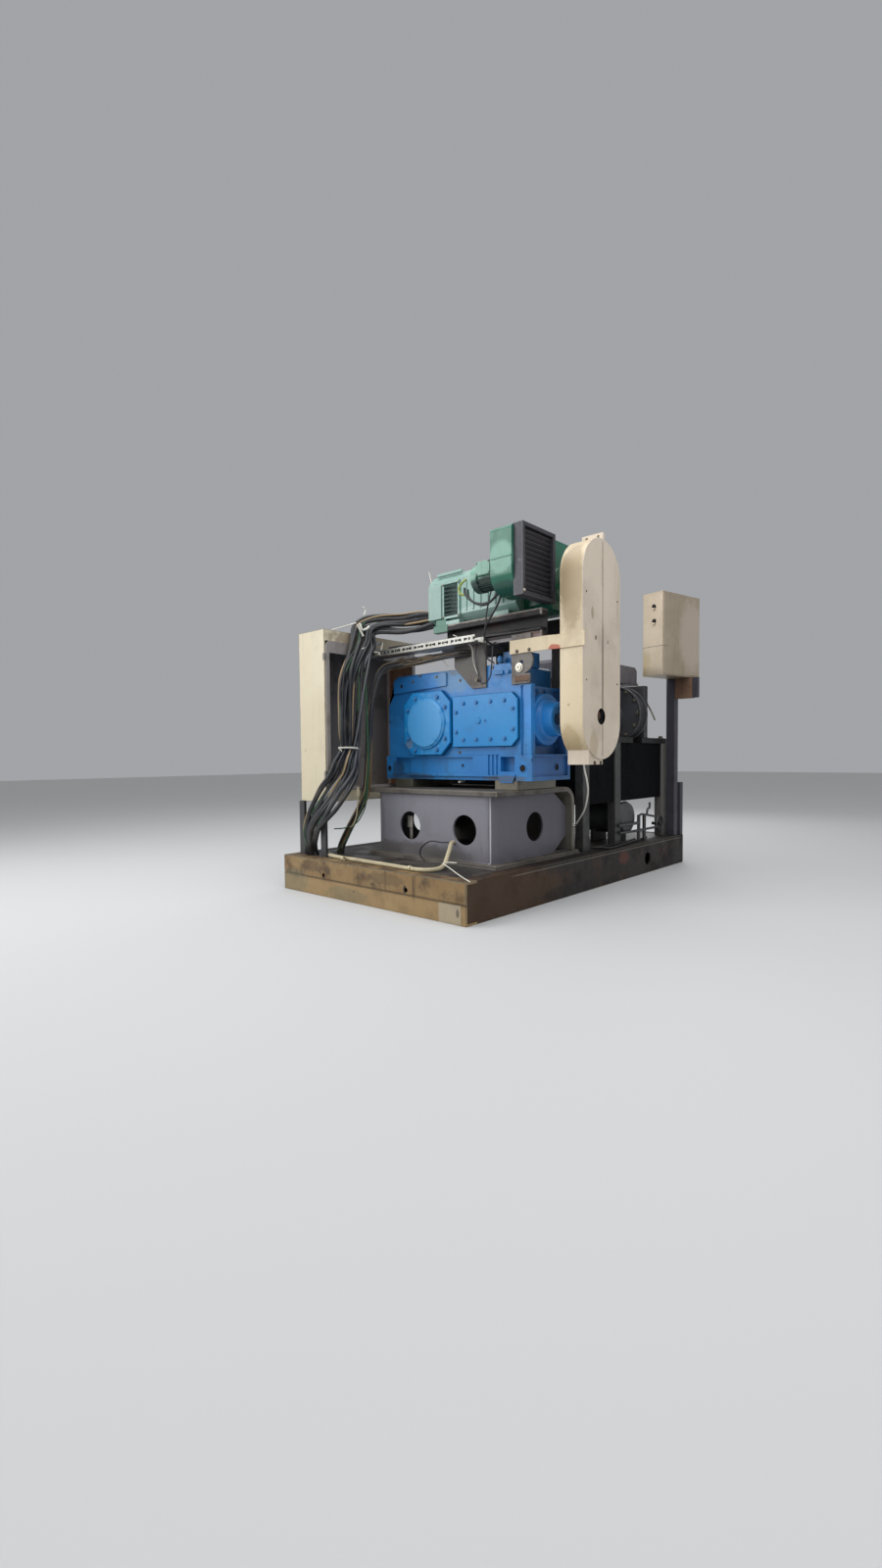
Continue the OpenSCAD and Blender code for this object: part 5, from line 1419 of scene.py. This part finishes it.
def makeBaseParts(unit):
    welded = {"frontWelds": ("pedestal_webs", "pedestal"), "sideWelds": ("pedestal_webs", "pedestal"),
              "deckWelds": ("pedestal_base", "pedestalPlate")}
    for key, (name, look) in welded.items():
        beadSet(key, [spots(line) for line in unit[key]], look, name, Bead_Radius=0.0035)
    bm = bmesh.new()
    for place in unit["clips"]:
        addRing(bm, spot(*place), right, 0.0095, 0.0145, 0.016, 20)
    finishPiece("conduitClips", bm, "creamPlastic", smooth=35)
    wireSet("deckLoop", unit["loop"], "blackRubber", "conduit")
    wireSet("conduitTie", unit["tie"], "whitePlastic", "conduit")
    boxesPiece("pedestalFitting", unit["inHole"], "brightZinc")
    turnedPiece("leadClamp", [(unit["clamp"], (0.7, -0.6, 0.2), [(-10, 9), (10, 9), (12, 6)])], "brightZinc")
    wireSet("deckHoses", unit["deckHoses"], "blackRubber", "skid_deck", 10)


makeBaseParts(baseUnit)
print("base detailed")


# roll stand and controls

standUnit = {
    "pipes": [
        ([(1460, 1728, 352), (1460, 1974, 352), (1460, 2045, 352)], 11),
        ([(1460, 1740, 300), (1460, 2100, 297), (1460, 2380, 296)], 9),
        ([(1460, 2037, 408), (1460, 2037, 300), (1460, 2037, 221)], 12),
        ([(1460, 2125, 400), (1460, 2125, 300), (1460, 2125, 221)], 13),
        ([(1460, 2171, 399), (1460, 2180, 440), (1460, 2212, 452), (1460, 2215, 490)], 8),
        ([(1460, 2045, 404), (1460, 2090, 410), (1460, 2171, 399), (1460, 2300, 380)], 8)],
    "wheel": (1452, 2406, 316),
    "wheelRadius": 56,
    "stay": [([(1291, 2330, 1404), (1350, 2330, 1296), (1420, 2330, 1165), (1447, 2330, 1104)], 6)],
    "boxBracket": [((1528, 2496, 1270), (1655, 2560, 1426))],
    "knobs": [(1502, 2170, 1922), (1504, 2170, 1817)],
    "drumBolts": {"middle": (1285, 1144), "radius": 178, "count": 12, "face": 2000},
    "tableBolts": [(x, y, 970) for x in (230, 1410) for y in (1330, 1600, 2240, 2510)],
    "housingBolts": [(x, 1560, z) for x in (570, 920) for z in (1010, 1150, 1300)],
}


def makeStandParts(unit):
    tubesPiece("pumpPipes", unit["pipes"], "spindleSteel")
    bm = bmesh.new()
    middle, radius = spot(*unit["wheel"]), unit["wheelRadius"] / 1000

    def onRim(turn):
        return middle + Vector((0, math.cos(turn), math.sin(turn))) * radius

    addTube(bm, [onRim(2 * math.pi * k / 36) for k in range(37)], 0.008, 10)
    for k in range(3):
        addTube(bm, [middle, onRim(2 * math.pi * k / 3 + 0.5)], 0.005)
    addTurned(bm, middle + Vector((-0.06, 0, 0)), right, [(0, 0.012), (0.072, 0.012), (0.074, 0.008)], 20)
    finishPiece("valveWheel", bm, "spindleSteel", smooth=40)
    tubesPiece("hoodStay", unit["stay"], "bareSteel")
    boltSet("boxKnobs", bolted(unit["knobs"], front), "blackAndHoleShade", "control_box", (0.012, 0.010, 0.016), 20)
    boxesPiece("boxBracket", unit["boxBracket"], "rustPlate", 0.002)
    circle = unit["drumBolts"]
    rows = []
    for k in range(circle["count"]):
        a = 2 * math.pi * k / circle["count"]
        across, up = circle["radius"] * math.cos(a), circle["radius"] * math.sin(a)
        rows += bolted([(circle["middle"][0] + across, circle["face"], circle["middle"][1] + up)], front)
    rows += bolted(unit["tableBolts"], upward, 1.4) + bolted(unit["housingBolts"], front, 1.2)
    boltSet("standBolts", rows, "boltSteel", "roll_housings", (0.012, 0.010, 0.017))


makeStandParts(standUnit)
print("roll stand detailed")


# cables of the two looms

# rows along each bundle: one edge, the other edge, half depth, all in mm
loomSetup = {
    "power": {
        "seed": 4,
        "groups": [
            {"count": 9, "radius": 0.0138, "tone": (0.0, 0.3)},
            {"count": 9, "radius": 0.0064, "tone": (0.1, 1.0)}],
        "rows": [
            ((736, 660, 1762), (736, 660, 1672), 30), ((640, 630, 1780), (640, 630, 1650), 34),
            ((530, 575, 1776), (530, 575, 1640), 36), ((441, 480, 1768), (439, 480, 1644), 36),
            ((384, 392, 1742), (396, 452, 1636), 32), ((358, 322, 1690), (402, 445, 1612), 28),
            ((372, 285, 1600), (404, 440, 1560), 26), ((386, 235, 1487), (404, 400, 1490), 26),
            ((392, 176, 1371), (404, 368, 1380), 26), ((392, 150, 1260), (404, 350, 1268), 26),
            ((392, 144, 1013), (402, 315, 1015), 24), ((393, 150, 898), (402, 294, 898), 18),
            ((400, 102, 819), (428, 268, 817), 20), ((391, 72, 741), (440, 248, 738), 18),
            ((324, 46, 651), (470, 165, 650), 14), ((235, 32, 526), (436, 90, 533), 9),
            ((192, 32, 462), (385, 66, 471), 9), ((163, 34, 399), (312, 62, 406), 10),
            ((152, 46, 348), (252, 76, 350), 12), ((150, 62, 292), (212, 92, 296), 14),
            ((146, 74, 249), (190, 118, 247), 14), ((146, 84, 221), (188, 128, 221), 12)]},
    "control": {
        "seed": 9,
        "groups": [
            {"count": 5, "radius": 0.0056, "tone": (0.6, 0.85)},
            {"count": 7, "radius": 0.0072, "tone": (0.0, 0.4)}],
        "rows": [
            ((1090, 588, 1470), (1090, 588, 1442), 8), ((1030, 566, 1474), (1030, 566, 1440), 14),
            ((900, 552, 1470), (900, 552, 1436), 18), ((700, 545, 1468), (700, 545, 1424), 20),
            ((540, 530, 1462), (540, 530, 1418), 20), ((436, 486, 1440), (442, 508, 1400), 18),
            ((402, 426, 1340), (406, 470, 1330), 16), ((396, 380, 1150), (400, 424, 1150), 15),
            ((395, 374, 950), (399, 418, 950), 15), ((391, 368, 780), (395, 412, 780), 16),
            ((372, 368, 640), (378, 412, 640), 20), ((348, 340, 540), (356, 386, 540), 20),
            ((304, 296, 430), (314, 338, 430), 20), ((258, 262, 320), (268, 300, 320), 20),
            ((240, 250, 262), (248, 284, 262), 18), ((238, 250, 221), (246, 282, 221), 18)]},
}


def loomLines(setup):
    # strands that keep their share of the bundle's width and sway a little along it
    rng = random.Random(setup["seed"])
    rows = [(spot(*a), spot(*b), depth / 1000) for a, b, depth in setup["rows"]]
    last = len(rows) - 1
    middles = [(a + b) / 2 for a, b, _ in rows]
    outward = []
    for i, (a, b, _) in enumerate(rows):
        along = middles[min(i + 1, last)] - middles[max(i - 1, 0)]
        normal = (b - a).cross(along).normalized()
        outward.append(-normal if outward and normal.dot(outward[-1]) < 0 else normal)
    lines, thick, tones = [], [], []
    for group in setup["groups"]:
        for k in range(group["count"]):
            share = (k + 0.5) / group["count"]
            side = rng.uniform(-0.9, 0.9)
            phase, sway = rng.uniform(0, 6.28), rng.uniform(0.04, 0.13)
            knots = []
            for i, (a, b, depth) in enumerate(rows):
                t = min(1.0, max(0.0, share + sway * math.sin(phase + 0.8 * i)))
                knots.append(a.lerp(b, t) + outward[i] * depth * side * math.cos(0.5 * i + phase))
            lines.append(smoothPath(knots))
            thick.append(group["radius"] * rng.uniform(0.8, 1.15))
            tones.append(rng.uniform(*group["tone"]))
    return lines, thick, tones


def makeLooms(setup):
    for name, loom in setup.items():
        lines, thick, tones = loomLines(loom)
        piece = strandSet(name + "Cables", lines, thick, "cableMix", name + "_loom", tones, Sides=10,
                          Step=0.014)
        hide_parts(name + "_loom")


loomExtras = {
    "bows": [
        ([(400, 372, 1560), (400, 300, 1530), (400, 247, 1479), (400, 196, 1400), (400, 168, 1332),
          (400, 155, 1260), (400, 156, 1199), (400, 168, 1100), (400, 181, 1024), (400, 205, 940),
          (400, 217, 898)], 6),
        ([(400, 400, 1560), (400, 330, 1530), (400, 262, 1430), (400, 225, 1351), (400, 192, 1250),
          (400, 184, 1171), (400, 195, 1100), (400, 210, 1039), (400, 228, 960), (400, 231, 913)], 7)],
    "pale": [
        ([(404, 500, 1590), (404, 440, 1560), (404, 380, 1485), (404, 344, 1410), (404, 322, 1344),
          (404, 308, 1240), (404, 304, 1140), (404, 290, 1020), (404, 275, 914)], 8)],
    "greens": [
        ([(404, 400, 1430), (405, 346, 1404), (408, 362, 1300), (408, 373, 1049), (408, 377, 797),
          (405, 353, 556), (388, 320, 460), (370, 281, 414), (370, 200, 398), (370, 119, 400)], 4),
        ([(408, 330, 1390), (410, 352, 1290), (411, 360, 1049), (411, 364, 820), (408, 340, 600),
          (390, 300, 470), (340, 250, 330), (245, 225, 226)], 3.5)],
    "plug": ((405, 285, 592), upward, [(0, 6), (4, 11), (40, 11), (44, 8), (60, 8), (63, 4)]),
    "plugWire": [
        ([(405, 285, 594), (405, 280, 540), (405, 270, 473), (398, 250, 420), (380, 240, 400)], 3.5)],
    "ties": [
        ([(406, 134, 902), (420, 200, 904), (422, 250, 902), (408, 300, 896)], 6),
        ([(406, 140, 896), (412, 150, 884), (410, 146, 874)], 4),
        ([(408, 318, 1690), (416, 330, 1652), (416, 372, 1664), (408, 392, 1682)], 7),
        ([(404, 290, 1690), (400, 200, 1656), (396, 105, 1622)], 4),
        ([(404, 300, 1680), (408, 326, 1640), (414, 340, 1612)], 6),
        ([(404, 350, 1800), (400, 372, 1780), (398, 360, 1752)], 4),
        ([(404, 470, 1512), (404, 493, 1521), (404, 516, 1593)], 4.5),
        ([(404, 396, 1500), (404, 440, 1524), (404, 500, 1522)], 4.5),
        ([(408, 330, 1530), (410, 380, 1560), (408, 398, 1606)], 4.5)],
}


def makeLoomExtras(unit):
    node = "power_loom"
    wireSet("loomBows", unit["bows"], "cablePlain", node)
    wireSet("loomPale", unit["pale"], "paleRubber", node)
    wireSet("loomGreen", unit["greens"], "wireGreen", node)
    turnedPiece("loomPlug", [unit["plug"]], "creamPlastic")
    wireSet("loomPlugWire", unit["plugWire"], "creamPlastic", node)
    tubesPiece("loomTies", unit["ties"], "whitePlastic", 8)


makeLooms(loomSetup)
makeLoomExtras(loomExtras)
print("looms made")
